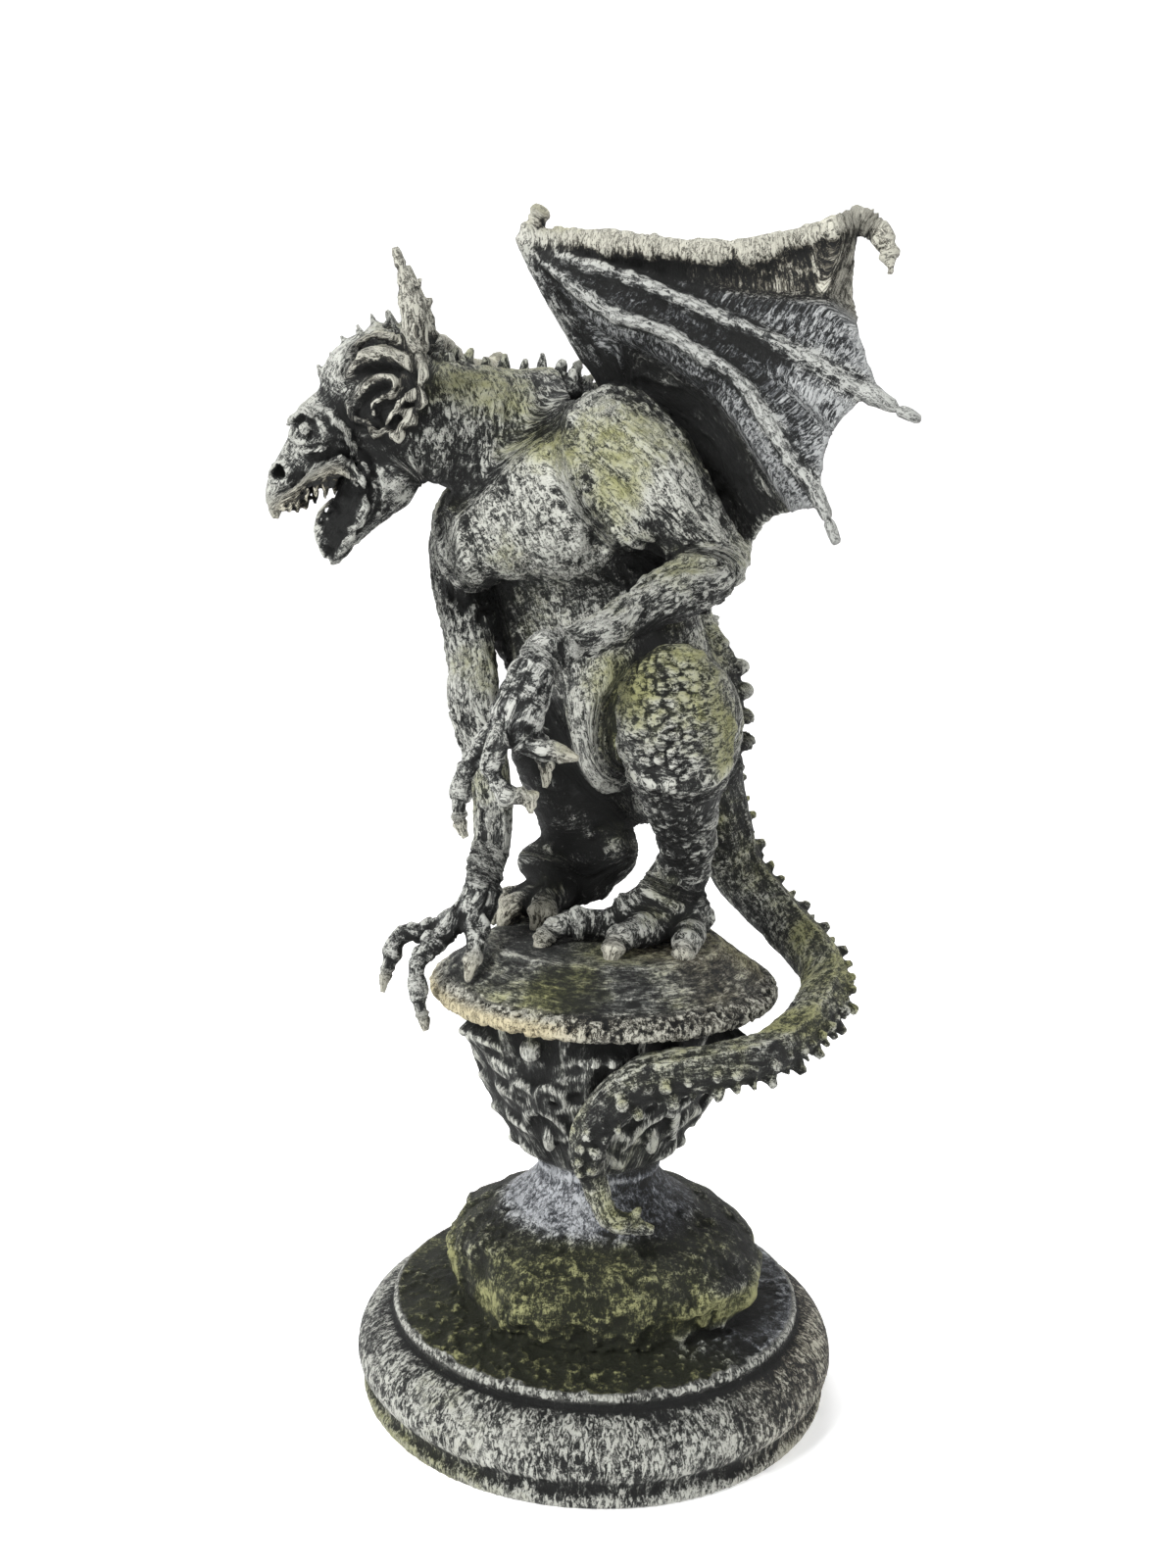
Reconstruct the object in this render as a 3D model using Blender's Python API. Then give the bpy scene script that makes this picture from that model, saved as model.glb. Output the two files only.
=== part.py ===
"""A crouching winged gargoyle on an urn-shaped pedestal, both cast in stone-filled resin.

Two solids: the pedestal, with its round foot, rock, leafy urn and cap slab, and the gargoyle that
squats on the slab with its tail hung down round the urn. Sizes are in millimetres, and a finished
mesh is scaled to metres once. +Z is up, the origin is the centre of the pedestal's underside, and
the front of the statue is -Y.
"""

import math

import bmesh
import bpy
import numpy as np
from mathutils import Matrix, Vector, noise

MM = 0.001

# Pedestal.
FOOT_RADIUS = 60.0
FOOT_HEIGHT = 19.5
FOOT_ROUNDING = 10.5
GROOVE_HEIGHT = 3.6
GROOVE_DEPTH = 1.2
RIM_RADIUS = 51.2
RIM_HEIGHT = 3.6
ROCK_RADIUS = 36.5
ROCK_HEIGHT = 21.0
ROCK_LUMPS = 4.2
ROCK_LEAN = 2.4
FLARE_RADIUS = 27.3
FLARE_HEIGHT = 12.0
NECK_RADIUS = 15.0
NECK_HEIGHT = 2.5
BOWL_RADIUS = 33.8
BOWL_HEIGHT = 42.4
BOWL_LEAN = -1.3
LEAF_COUNT = 6
LEAF_DEPTH = 3.4
FLUTE_COUNT = 24
FLUTE_DEPTH = 0.9
SLAB_RADIUS = 42.8
SLAB_EDGE = 4.0
SLAB_RISE = 10.5
SLAB_CROWN_RADIUS = 28.5
CHIP_DEPTH = 0.9

RIM_TOP = FOOT_HEIGHT + RIM_HEIGHT
ROCK_TOP = RIM_TOP + ROCK_HEIGHT
FLARE_TOP = ROCK_TOP + FLARE_HEIGHT
NECK_TOP = FLARE_TOP + NECK_HEIGHT
BOWL_TOP = NECK_TOP + BOWL_HEIGHT
SLAB_TOP = BOWL_TOP + SLAB_EDGE + SLAB_RISE

# Gargoyle. Its points are drawn for the drawn height and crown, and follow the real ones.
FIGURE_HEIGHT = 170.5
DRAWN_HEIGHT = 170.5
DRAWN_CROWN = 117.5
MEMBRANE = 2.6
FAR_WING_DROP = 13.5
SPINE_FIN = 4.6
THORN = 2.8
TAIL_RADIUS = 6.2
CONTACT_GAP = 0.35

# Fineness of the two meshes.
FLESH_VOXEL = 1.15
DETAIL_VOXEL = 0.85
FIGURE_TRIANGLES = 6400
PEDESTAL_TRIANGLES = 3000


def unit(vector):
    return Vector(vector).normalized()


def at(point):
    """Where a drawn point of the figure lies above the slab, at the figure's real size."""
    size = FIGURE_HEIGHT / DRAWN_HEIGHT
    x, y, z = point[:3]
    return Vector((x * size, y * size, SLAB_TOP + (z - DRAWN_CROWN) * size))


def smooth_path(stations, spacing):
    """A Catmull-Rom curve through rows of numbers that begin with a point, a row each spacing."""
    rows = [np.asarray(row, float) for row in stations]
    rows = [2 * rows[0] - rows[1], *rows, 2 * rows[-1] - rows[-2]]
    found = []
    for a, b, c, d in zip(rows, rows[1:], rows[2:], rows[3:]):
        steps = max(2, int(np.linalg.norm(c[:3] - b[:3]) / spacing))
        for t in np.arange(steps) / steps:
            curve = 2 * b + (c - a) * t + (2 * a - 5 * b + 4 * c - d) * t**2
            found.append((curve + (3 * b - a - 3 * c + d) * t**3) / 2)
    return np.array([*found, rows[-2]])


def frame_at(centre, x, y, z):
    frame = Matrix((x, y, z)).transposed().to_4x4()
    frame.translation = centre
    return frame


class Clay:
    """Closed shapes gathered in one mesh, to be fused into a single skin."""

    def __init__(self):
        self.bm = bmesh.new()

    def take(self, piece):
        mesh = bpy.data.meshes.new("piece")
        bmesh.ops.recalc_face_normals(piece, faces=piece.faces)
        piece.to_mesh(mesh)
        piece.free()
        self.bm.from_mesh(mesh)
        bpy.data.meshes.remove(mesh)

    def limb(self, stations, wide=(1, 0, 0), sides=12, spacing=2.5):
        """A round-ended tube through rows of x, y, z, radius and, if oval, its other radius."""
        rows = [(*at(row), row[3], row[-1]) for row in stations]
        path = smooth_path(rows, spacing)
        ways = [unit(way) for way in np.gradient(path[:, :3], axis=0)]
        rings = []
        for row, way in zip(path, ways):
            rings.append((Vector(row[:3]), way, max(row[3], 0.3), max(row[4], 0.3)))
        for place, sign in ((0, -1), (len(rings), 1)):
            centre, way, along, across = rings[place - (sign > 0)]
            cap = []
            for turn in (35, 62, 85):
                reach = min(along, across) * math.sin(math.radians(turn)) * sign
                shrink = math.cos(math.radians(turn))
                cap.append((centre + way * reach, way, along * shrink, across * shrink))
            rings[place:place] = cap if sign > 0 else cap[::-1]
        piece = bmesh.new()
        loop = bmesh.ops.create_circle(piece, cap_ends=True, segments=sides, radius=1)["verts"]
        last = Matrix.Identity(4)
        for number, (centre, way, along, across) in enumerate(rings):
            side = (Vector(wide) - way * way.dot(Vector(wide))).normalized()
            here = frame_at(centre, side * along, way.cross(side) * across, way)
            if number:
                around = [edge for edge in piece.edges if set(edge.verts) <= set(loop)]
                grown = bmesh.ops.extrude_edge_only(piece, edges=around)["geom"]
                loop = [item for item in grown if isinstance(item, bmesh.types.BMVert)]
            bmesh.ops.transform(piece, matrix=here @ last.inverted(), verts=loop)
            last = here
        bmesh.ops.holes_fill(piece, edges=[edge for edge in piece.edges if edge.is_boundary])
        self.take(piece)

    def ball(self, centre, radii, along=(1, 0, 0), up=(0, 0, 1)):
        """An ellipsoid whose first radius lies along one way and whose third lies nearest up."""
        x = unit(along)
        y = unit(Vector(up).cross(x))
        z = x.cross(y)
        frame = frame_at(at(centre), x * radii[0], y * radii[1], z * radii[2])
        piece = bmesh.new()
        bmesh.ops.create_icosphere(piece, subdivisions=3, radius=1, matrix=frame)
        self.take(piece)

    def spike(self, foot, tip, radius):
        """A short cone with a blunt tip."""
        rows = [(*foot, radius), (*tip, radius * 0.3)]
        self.limb(rows, wide=(0.3, 1, 0.2), sides=8, spacing=1.5)

    def sheet(self, place, across, along, thickness):
        """A thin wall on both sides of place(u, v), for u and v from 0 to 1."""
        piece = bmesh.new()
        bmesh.ops.create_grid(piece, x_segments=across, y_segments=along, size=0.5)
        for vert in piece.verts:
            vert.co = at(place(vert.co.x + 0.5, vert.co.y + 0.5))
        piece.normal_update()
        for vert in piece.verts:
            vert.co += vert.normal * thickness / 2
        bmesh.ops.solidify(piece, geom=piece.faces[:], thickness=thickness)
        self.take(piece)

    def add(self, body):
        """Take in a fused mesh, whose object is used up."""
        self.bm.from_mesh(body.data)
        bpy.data.meshes.remove(body.data)

    def fused(self, name, voxel, smoothing):
        """One closed skin round all the shapes, as a new object."""
        mesh = bpy.data.meshes.new(name)
        self.bm.to_mesh(mesh)
        self.bm.free()
        body = bpy.data.objects.new(name, mesh)
        bpy.context.collection.objects.link(body)
        remesh = body.modifiers.new("fuse", "REMESH")
        remesh.mode = "VOXEL"
        remesh.voxel_size = voxel
        soften = body.modifiers.new("soften", "SMOOTH")
        soften.factor = 0.5
        soften.iterations = smoothing
        apply_modifiers(body)
        return body


def apply_modifiers(body):
    graph = bpy.context.evaluated_depsgraph_get()
    graph.update()
    mesh = bpy.data.meshes.new_from_object(body.evaluated_get(graph))
    mesh.name = body.name
    old = body.data
    body.modifiers.clear()
    body.data = mesh
    bpy.data.meshes.remove(old)


def thin_out(body, triangles):
    """Bring a mesh down to a number of triangles, flat parts first."""
    body.data.calc_loop_triangles()
    thin = body.modifiers.new("thin out", "DECIMATE")
    thin.ratio = min(1.0, triangles / len(body.data.loop_triangles))
    thin.use_collapse_triangulate = True
    apply_modifiers(body)


def torso(clay):
    """The hunched trunk, from the shoulders down to the haunches, with its breast and belly."""
    trunk = [
        (-20, 18, 239, 14, 9),
        (-19, 18, 233, 21, 14),
        (-15, 17, 225, 24.5, 16.5),
        (-9.5, 18, 213, 26, 17.5),
        (-3, 20, 196, 25.5, 17.5),
        (5.5, 22, 178, 22, 17),
        (12, 24, 161, 17, 16),
        (15, 26, 149, 11, 11),
    ]
    backbone = [
        (-6, 32, 243, 6),
        (4, 33, 227, 8),
        (12, 32, 210, 9),
        (18.5, 29, 193, 8),
        (25, 29, 177, 9.5),
        (24, 30, 160, 10),
    ]
    clay.limb(trunk, wide=(0.86, -0.5, 0), sides=24, spacing=4)
    clay.limb(backbone, sides=16, spacing=4)
    clay.ball((-16.5, 0, 216), (15, 13, 15))
    clay.ball((-34.3, 10, 213), (10, 12, 13))
    clay.ball((-6, 30, 226), (13, 9, 17), up=(-0.5, 0, 1))
    clay.ball((-22, 34, 230), (10, 8, 14), up=(-0.3, 0, 1))
    clay.ball((0, 12, 174), (11, 14, 24), up=(-0.3, 0, 1))
    clay.ball((-22, 24, 196), (9, 9, 19), up=(-0.3, 0, 1))
    clay.ball((19, 24, 171), (12.5, 13, 19), up=(-0.3, 0, 1))


def neck_and_head(clay):
    """The thick neck and the lowered head, with a hooked beak and a gaping lower jaw."""
    neck = [
        (-56, 0, 238, 11, 10),
        (-45, 3, 239.3, 14, 12),
        (-33, 10, 239.3, 14.5, 14),
        (-20, 18, 237, 18, 17),
    ]
    clay.limb(neck, wide=(0, 0, 1), sides=16, spacing=4)
    muzzle = (-0.7, 0, -0.7)
    clay.ball((-57.5, 0, 247.5), (14, 10.5, 12), along=muzzle, up=(-0.7, 0, 0.7))
    clay.ball((-67, 0, 237.5), (12, 9.2, 9), along=muzzle, up=(-0.7, 0, 0.7))
    clay.ball((-54, 0, 252.5), (9, 8.5, 9.5))
    beak = [
        (-68, 0, 234.5, 8, 7.5),
        (-73.5, 0, 230, 6.2, 6.5),
        (-77, 0, 226, 4.9, 5.4),
        (-80, 0, 221.5, 3.3, 3.6),
        (-81, 0, 218, 1.7, 1.8),
        (-80.5, 0, 215.5, 0.8),
    ]
    clay.limb(beak)
    jaw = [
        (-55, 0, 226, 8.5, 8),
        (-61.5, 0, 219, 6.2, 6.8),
        (-66, 0, 213, 4.6, 5.6),
        (-67.5, 0, 209, 3, 4),
        (-67.5, 0, 207, 1.5),
    ]
    clay.limb(jaw)
    for side in (-1, 1):
        clay.ball((-71.5, side * 7.2, 236.5), (3.4, 2.2, 2.6), along=muzzle)
        brow = [(-76, side * 7, 240, 1.4), (-71, side * 8, 241, 1.8), (-66, side * 8.6, 238, 1.5)]
        clay.limb(brow, spacing=1.5)
    for x, z in ((-69.5, 250.5), (-66.5, 255), (-62.5, 259), (-58, 262), (-53, 263)):
        clay.spike((x + 1.5, 0, z - 3), (x, 0, z + 1.5), 1.6)


def ear(clay, side):
    """A bat's ear laid back along the skull, ribbed inside, with a tall pointed tip."""
    reach = -side
    clay.ball((-51.5, reach * -11, 244), (9.5, 2.4, 11), along=(1, reach * -0.25, 0))
    rim = [
        (-55, -10, 231.5, 1.5),
        (-49.5, -12.5, 233, 1.8),
        (-44.5, -14.5, 236.5, 1.9),
        (-42.5, -15.5, 242, 1.9),
        (-43, -15, 247, 1.9),
        (-45, -13, 253, 2),
    ]
    clay.limb([(x, reach * y, z, r) for x, y, z, r in rim], spacing=1.5)
    tip = [
        (-47, -10, 246, 2.6),
        (-46.5, -12, 255, 3),
        (-47.5, -12, 264, 2.7),
        (-49.5, -11, 270.5, 2),
        (-51.5, -10, 276.5, 1.1),
    ]
    clay.limb([(x, reach * y, z, r) for x, y, z, r in tip], spacing=2)
    for x, z in ((-45, 241), (-44.5, 247), (-47, 251.5)):
        clay.limb([(-59, reach * -11, z - 3.5, 1.3), (x, reach * -14.5, z, 1.3)], spacing=2)


def finger(clay, rows, knuckle=1.15):
    """A finger or toe whose rows of points end at its claw, with a knob at each joint."""
    clay.limb(rows, wide=(0.2, 0.3, 1), sides=10, spacing=1.5)
    for row in rows[1:-2]:
        clay.ball(row[:3], [row[3] * knuckle] * 3)


def arms(clay):
    """The left arm bent across the knee, and the right arm propped straight on the slab."""
    left = [
        (-1, 4, 237, 13),
        (7, -2, 229, 12.5),
        (14, -4, 220, 10.3),
        (21, -2, 213, 8.3),
        (27, 2, 207, 7.2),
    ]
    clay.limb(left, sides=16)
    clay.ball((4, -8, 221), (7, 6, 10), up=(-0.5, 0, 1))
    clay.ball((27, 1, 208.5), (4.8, 5, 5.2))
    forearm = [
        (26, 2, 208.5, 5.8),
        (22, -4, 206.5, 6.8),
        (14, -14, 202, 6.4),
        (2.5, -24, 195.5, 5),
        (-7, -33, 191, 4.4),
        (-15, -38, 188.5, 4.8),
    ]
    clay.limb(forearm, wide=(0, 0, 1), sides=14)
    clay.ball((-10, -38, 190), (3.4, 3, 3))
    palm = [
        (-15, -38, 189, 4.8),
        (-17.5, -41, 184, 5.2, 4.4),
        (-20.5, -44, 177, 6.4, 4.2),
        (-21.5, -45, 173.5, 6, 3.6),
    ]
    clay.limb(palm)
    for x, z in ((31, 213), (31, 209), (28.5, 204.5), (25.5, 200.5), (21.5, 198), (16.5, 196.5)):
        clay.spike((x - 3.5, 0, z), (x + 1.2, -1, z), 2)
    right = [
        (-35, 20, 219, 10),
        (-38, 23, 211, 9.4),
        (-38, 22, 200.5, 7.6),
        (-36.5, 18, 191, 6.6),
        (-34.5, 13, 181.5, 6.2),
        (-34, 9, 173.5, 6.8),
        (-30.8, 5, 163, 5.8),
        (-28.5, 1, 151.5, 4.7),
        (-28, -3, 142.5, 4.4),
        (-29, -6, 134, 4.9),
    ]
    clay.limb(right, sides=14)
    palm = [(-29.5, -6, 135, 4.6), (-30.5, -8.5, 127.5, 6, 4.6), (-33, -10.5, 122.5, 6.4, 4.4)]
    clay.limb(palm, wide=(0.3, 1, 0))


def hands(clay):
    """Three long clawed fingers and a thumb on the hanging hand, three fingers on the other."""
    digit = [
        (-23, -44, 175, 2.7),
        (-27.5, -44, 169, 2.3),
        (-31, -43, 164, 2.3),
        (-32.7, -42, 158, 2),
        (-32.7, -41, 151, 1.5),
        (-31.4, -41, 148.5, 0.8),
    ]
    finger(clay, digit)
    digit = [
        (-22, -46, 175, 2.8),
        (-24.5, -48, 171, 2.5),
        (-25.5, -49, 165, 2.4),
        (-22, -50, 159.5, 2.2),
        (-17.5, -50, 159, 1.8),
        (-17, -50, 155.5, 0.8),
    ]
    finger(clay, digit)
    digit = [
        (-20.5, -45, 176, 2.8),
        (-19.5, -46, 170.5, 2.6),
        (-14.5, -48, 169, 2.4),
        (-10.5, -49, 168, 1.8),
        (-7, -49, 167.5, 0.8),
    ]
    finger(clay, digit)
    digit = [
        (-18, -41, 175, 2.4),
        (-16.5, -38, 169, 2.1),
        (-14.5, -36, 163.5, 1.7),
        (-14.5, -36, 159, 0.8),
    ]
    finger(clay, digit)
    digit = [
        (-36, -10, 123.5, 3),
        (-42.5, -9.5, 119.4, 2.7),
        (-48.8, -9, 118.2, 2.4),
        (-51.6, -9, 113.5, 2),
        (-53.3, -9, 107, 1.4),
        (-53.6, -9, 103.5, 0.8),
    ]
    finger(clay, digit)
    digit = [
        (-36, -12, 122.5, 3.4),
        (-40.8, -15, 118, 2.7),
        (-44.2, -17.5, 113.5, 2.3),
        (-43.8, -19, 106, 2),
        (-42.6, -19, 99.5, 1.4),
        (-42.2, -19, 97.5, 0.8),
    ]
    finger(clay, digit)
    digit = [
        (-32, -10, 128, 3.4),
        (-31, -14.5, 122, 3),
        (-30.5, -18, 118.5, 2.6),
        (-31.5, -21, 115, 2),
        (-32, -22.5, 110.5, 0.8),
    ]
    finger(clay, digit)


def legs(clay):
    """Two folded legs: the left knee raised beside the elbow, the right one tucked behind."""
    thigh = [(21, 28, 160, 13), (18.5, 8, 168, 14.2), (15, -14, 175, 14), (13.5, -24, 176, 13)]
    clay.limb(thigh, sides=20, spacing=3)
    shin = [
        (14, -23.5, 175, 13.6),
        (15, -20.5, 165, 13.2),
        (17, -13, 152.5, 9.8),
        (19, -5, 140.5, 7.8),
        (18.8, -0.5, 129.5, 6.4),
        (18.2, 1.5, 124, 6.2),
    ]
    clay.limb(shin, sides=20, spacing=3)
    clay.ball((13.5, -28, 180), (10.5, 8, 11))
    clay.limb([(18.2, 3, 126, 6), (18.8, 8, 119, 5), (20, 11, 115.5, 3)])
    clay.ball((15, -5, 123.5), (9.5, 7, 5.5))
    clay.limb([(17, -2, 133, 6.5), (11, -4.5, 127, 5.6), (3, -6, 122.8, 4.8)])
    digit = [
        (12, -5, 123.5, 6),
        (1.5, -6, 121.8, 4.8),
        (-6.5, -7, 122.2, 4.3),
        (-12.3, -9, 121.2, 3.6),
        (-15.2, -11.2, 118, 2.2),
        (-16.8, -12.5, 113.5, 0.8),
    ]
    finger(clay, digit, 1.08)
    digit = [
        (15, -6, 123.5, 6),
        (8.5, -12, 122, 4.8),
        (3.5, -16.5, 121.4, 4.2),
        (1.5, -20.5, 118.5, 2.5),
        (0.8, -22, 113.5, 0.8),
    ]
    finger(clay, digit, 1.08)
    digit = [
        (20.5, -4, 123.5, 6),
        (19.5, -10, 121, 4.8),
        (19, -14, 120, 3.9),
        (18, -18, 117, 2.4),
        (17.5, -19.5, 113.5, 0.8),
    ]
    finger(clay, digit, 1.08)
    thigh = [(8, 32, 153, 14), (-4, 30, 158, 13), (-14, 27, 162, 10.5), (-17.5, 25, 160.5, 9)]
    shin = [(-17, 25, 160, 9), (-12, 27, 150, 9.5), (-8, 29, 138, 9.5), (-8, 29, 127, 8)]
    for rows in (thigh, shin):
        clay.limb(rows, sides=16, spacing=3)
    clay.ball((-1, 30, 132.5), (9.8, 9, 10))
    clay.ball((-14, 24, 130), (9.5, 7, 6))
    clay.limb([(-4, 30, 126, 8), (-11, 25, 123.5, 6.5), (-17, 18, 122, 5.5)], sides=14)
    for x, y in ((-26, 19), (-24, 11), (-16, 6)):
        middle = ((x - 14) / 2, (y + 20) / 2, 121.5, 4)
        digit = [
            (-12, 22, 122.5, 5),
            (x, y, 120, 3.4),
            (x * 1.12, y - 2.5, 114.5, 0.8),
        ]
        finger(clay, digit, 1.08)


def wing_parts():
    """The wing's arm and finger bones, as rows of points and radii from the wrist outward."""
    wrist = (-22, -8, 279)
    thumb = [(*wrist, 2.6), (-20, -8, 283.5, 2.5), (-18.8, -9, 285.6, 2.2)]
    first = [
        (*wrist, 2.6),
        (-12, -10, 279, 2.8),
        (0.5, -13, 277.6, 3),
        (13, -17, 276, 2.7),
        (25.5, -20, 275.2, 3.1),
        (35, -22, 277.3, 2.7),
        (44, -25, 279.6, 2.6),
        (49.5, -26, 281.6, 3),
    ]
    hook = [
        (49.5, -26, 281.6, 3),
        (53.5, -27, 278.7, 2.5),
        (55.6, -28, 274.5, 2),
        (56.2, -28, 269.8, 0.8),
    ]
    second = [
        (*wrist, 2.2),
        (-10.5, -11, 274, 2.2),
        (1, -14, 270.5, 2.1),
        (16, -17, 264.5, 2),
        (33.5, -22, 256, 2),
        (45.5, -25, 250, 1.9),
        (54, -27, 245, 2.3),
        (64, -29, 240, 1.1),
    ]
    third = [
        (*wrist, 2.2),
        (-11.5, -10, 269, 2.1),
        (-1.5, -13, 262.5, 2.1),
        (8.5, -15, 259.5, 2),
        (19, -18, 253, 2.1),
        (26, -20, 248, 2),
        (37.5, -23, 231.5, 2),
        (43.5, -24, 224, 2),
        (48.2, -25, 213.4, 1.1),
    ]
    arm = [(*wrist, 2.8), (-17.5, -4, 271.5, 3), (-8.5, 5, 259.5, 3.8), (0, 13, 249, 5)]
    return thumb, first, hook, second, third, arm


def wing(clay, turn, root, hem):
    """A bat's wing: arm and finger bones, and a membrane hollowed and scalloped between them."""
    parts = [[(*turn(row[:3]), row[3]) for row in rows] for rows in wing_parts()]
    thumb, first, hook, second, third, arm = parts
    for rows in (thumb, first, hook, second, third):
        clay.limb(rows, wide=(0, 0, 1), sides=10)
    clay.limb(arm + [root], wide=(0, 0, 1), sides=12)
    behind = Vector(turn((-21, 92, 279))) - Vector(turn((-22, -8, 279)))
    behind.z = 0
    edge = [(*arm[0][:3], 1), (*arm[2][:3], 1), *hem]
    panels = (
        (first, second, 1.0, 0.91, 0.04, 3.5),
        (second, third, 0.88, 0.89, 0.045, 3),
        (third, edge, 0.92, 1.0, 0.048, 2.5),
    )
    for upper, lower, upper_end, lower_end, scallop, hollow in panels:
        above = smooth_path(upper, 0.5)[:, :3]
        below = smooth_path(lower, 0.5)[:, :3]

        def place(u, v):
            swell = math.sin(math.pi * u)
            share = 0.02 + 0.98 * v * (1 - scallop * swell)
            top = above[int(share * upper_end * (len(above) - 1))]
            bottom = below[int(share * lower_end * (len(below) - 1))]
            push = behind.normalized() * hollow * swell * math.sin(math.pi * min(1.0, v * 0.8))
            return Vector(top * (1 - u) + bottom * u) + push

        clay.sheet(place, 16, 40, MEMBRANE)


def left_wing(point):
    return tuple(point)


def right_wing(point):
    """The left wing's point, mirrored in the upright plane of the hunched back, and held lower."""
    middle = Vector((-37, 18.5))
    across = Vector((0.517, -0.856))
    flat = Vector(point[:2]) - middle
    flat -= 2 * flat.dot(across) * across
    spread = min(1.0, max(0.0, (point[2] - 205) / 75))
    return (flat.x + middle.x, flat.y + middle.y, point[2] - FAR_WING_DROP * spread)


def ridge(clay):
    """Fins and knobs along the spine, from the nape over the back to the root of the tail."""
    spine = [
        (-47, 5, 255),
        (-41, 8, 254.8),
        (-33, 13, 252.5),
        (-20, 26, 254.5),
        (-12, 31, 254),
        (-6, 34.5, 250),
        (5, 38, 232),
        (16, 38, 212),
        (24.2, 35.5, 194),
        (31, 35, 177),
        (30, 36, 158),
    ]
    path = smooth_path(spine, 5.5)
    outward = Vector((0.75, 0.6, 0)).normalized()
    for number, (point, ahead) in enumerate(zip(path, path[1:])):
        way = unit(ahead - point)
        out = unit(Vector((0, 0, 1)).lerp(outward, min(1.0, number / len(path) * 1.8)))
        out = (out - way * out.dot(way)).normalized()
        tall = SPINE_FIN * (1 if number % 2 else 0.7)
        foot = Vector(point) - out * 4
        clay.spike(foot, Vector(point) + out * tall + way * 1.2, 2.6)
    clay.spike((20, 27, 195), (30, 25, 187.5), 4)


def bowl_radius(height):
    """The plain urn's radius at a height above the table."""
    share = min(1.0, max(0.0, (height - NECK_TOP) / BOWL_HEIGHT))
    return NECK_RADIUS + (BOWL_RADIUS - NECK_RADIUS) * share**0.7


def tail_route():
    """The tail's middle line: down behind the leg, out past the slab, and forward round the urn."""
    rows = [(*at((24, 28, 157.5)), 11), (*at((29.5, 33, 142.5)), 8.5), (*at((36, 33, 126.5)), 7.4)]
    beside = (
        (29, 0.86, 11, 1.08),
        (8, 0.3, 13, 1),
        (-9, -0.05, 9.8, 0.95),
        (-38, -0.28, 6.4, 0.84),
        (-58, -0.38, 3, 0.84),
    )
    for angle, lift, gap, stout in beside:
        radius = SLAB_RADIUS + gap
        height = BOWL_TOP + lift * (SLAB_TOP - BOWL_TOP)
        turn = math.radians(angle)
        thickness = TAIL_RADIUS * stout
        rows.append((radius * math.cos(turn), radius * math.sin(turn), height, thickness))
    under = ((-75, 0.79, 5.4), (-88, 0.6, 4.9), (-95, 0.41, 4.2), (-95, 0.18, 3.5))
    for angle, share, thickness in under:
        height = NECK_TOP + share * BOWL_HEIGHT
        radius = bowl_radius(height) + LEAF_DEPTH + thickness * 0.8
        turn = math.radians(angle)
        rows.append((radius * math.cos(turn), radius * math.sin(turn), height, thickness))
    tip = ((-86, 0.95, 3.2, 2.8), (-77, 0.8, 3.6, 2.6), (-67, 0.7, 6, 1.3))
    for angle, share, gap, thickness in tip:
        radius = FLARE_RADIUS + gap
        height = ROCK_TOP + share * FLARE_HEIGHT
        turn = math.radians(angle)
        rows.append((radius * math.cos(turn), radius * math.sin(turn), height, thickness))
    return rows


def undrawn(point):
    """The drawn point that lies at a real one."""
    size = DRAWN_HEIGHT / FIGURE_HEIGHT
    x, y, z = point[:3]
    return (x * size, y * size, DRAWN_CROWN + (z - SLAB_TOP) * size)


def tail(clay):
    """A long tail with two rows of thorns along its outer edge and a forked tip."""
    rows = [(*undrawn(row), row[3]) for row in tail_route()]
    clay.limb(rows, wide=(0, 0, 1), sides=14)
    path = smooth_path(rows, 4.2)
    for number, (row, ahead) in enumerate(zip(path[2:-6], path[3:-5])):
        way = unit(ahead[:3] - row[:3])
        flat = Vector((row[0], row[1], 0)).normalized()
        down = min(1.0, number / 22)
        out = (flat + Vector((0, 0, 0.7 - 1.1 * down))).normalized()
        out = (out - way * out.dot(way)).normalized()
        for lean in (-0.45, 0.35):
            thorn = (out + way.cross(out) * lean).normalized()
            foot = Vector(row[:3]) + thorn * row[3] * 0.6
            clay.spike(foot, Vector(row[:3]) + thorn * (row[3] + THORN), 1.9)
    end = Vector(rows[-2][:3])
    clay.spike(end, end + Vector((2.5, -1, 4.5)), 1.8)


def model_gargoyle():
    soft = Clay()
    torso(soft)
    neck_and_head(soft)
    arms(soft)
    legs(soft)
    flesh = soft.fused("flesh", FLESH_VOXEL, 3)
    whole = Clay()
    whole.add(flesh)
    for side in (-1, 1):
        ear(whole, side)
    hands(whole)
    left_hem = [(3, 16, 243, 1), (18, 20, 229, 1), (33.5, 21, 210.5, 1)]
    right_hem = [(-21, 39, 238, 1), (-10, 38, 222, 1), (3, 40, 205, 1)]
    wing(whole, left_wing, (-6, 24, 240, 8), left_hem)
    wing(whole, right_wing, (-18, 34, 236, 8), right_hem)
    ridge(whole)
    tail(whole)
    return whole.fused("gargoyle", DETAIL_VOXEL, 1)


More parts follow.
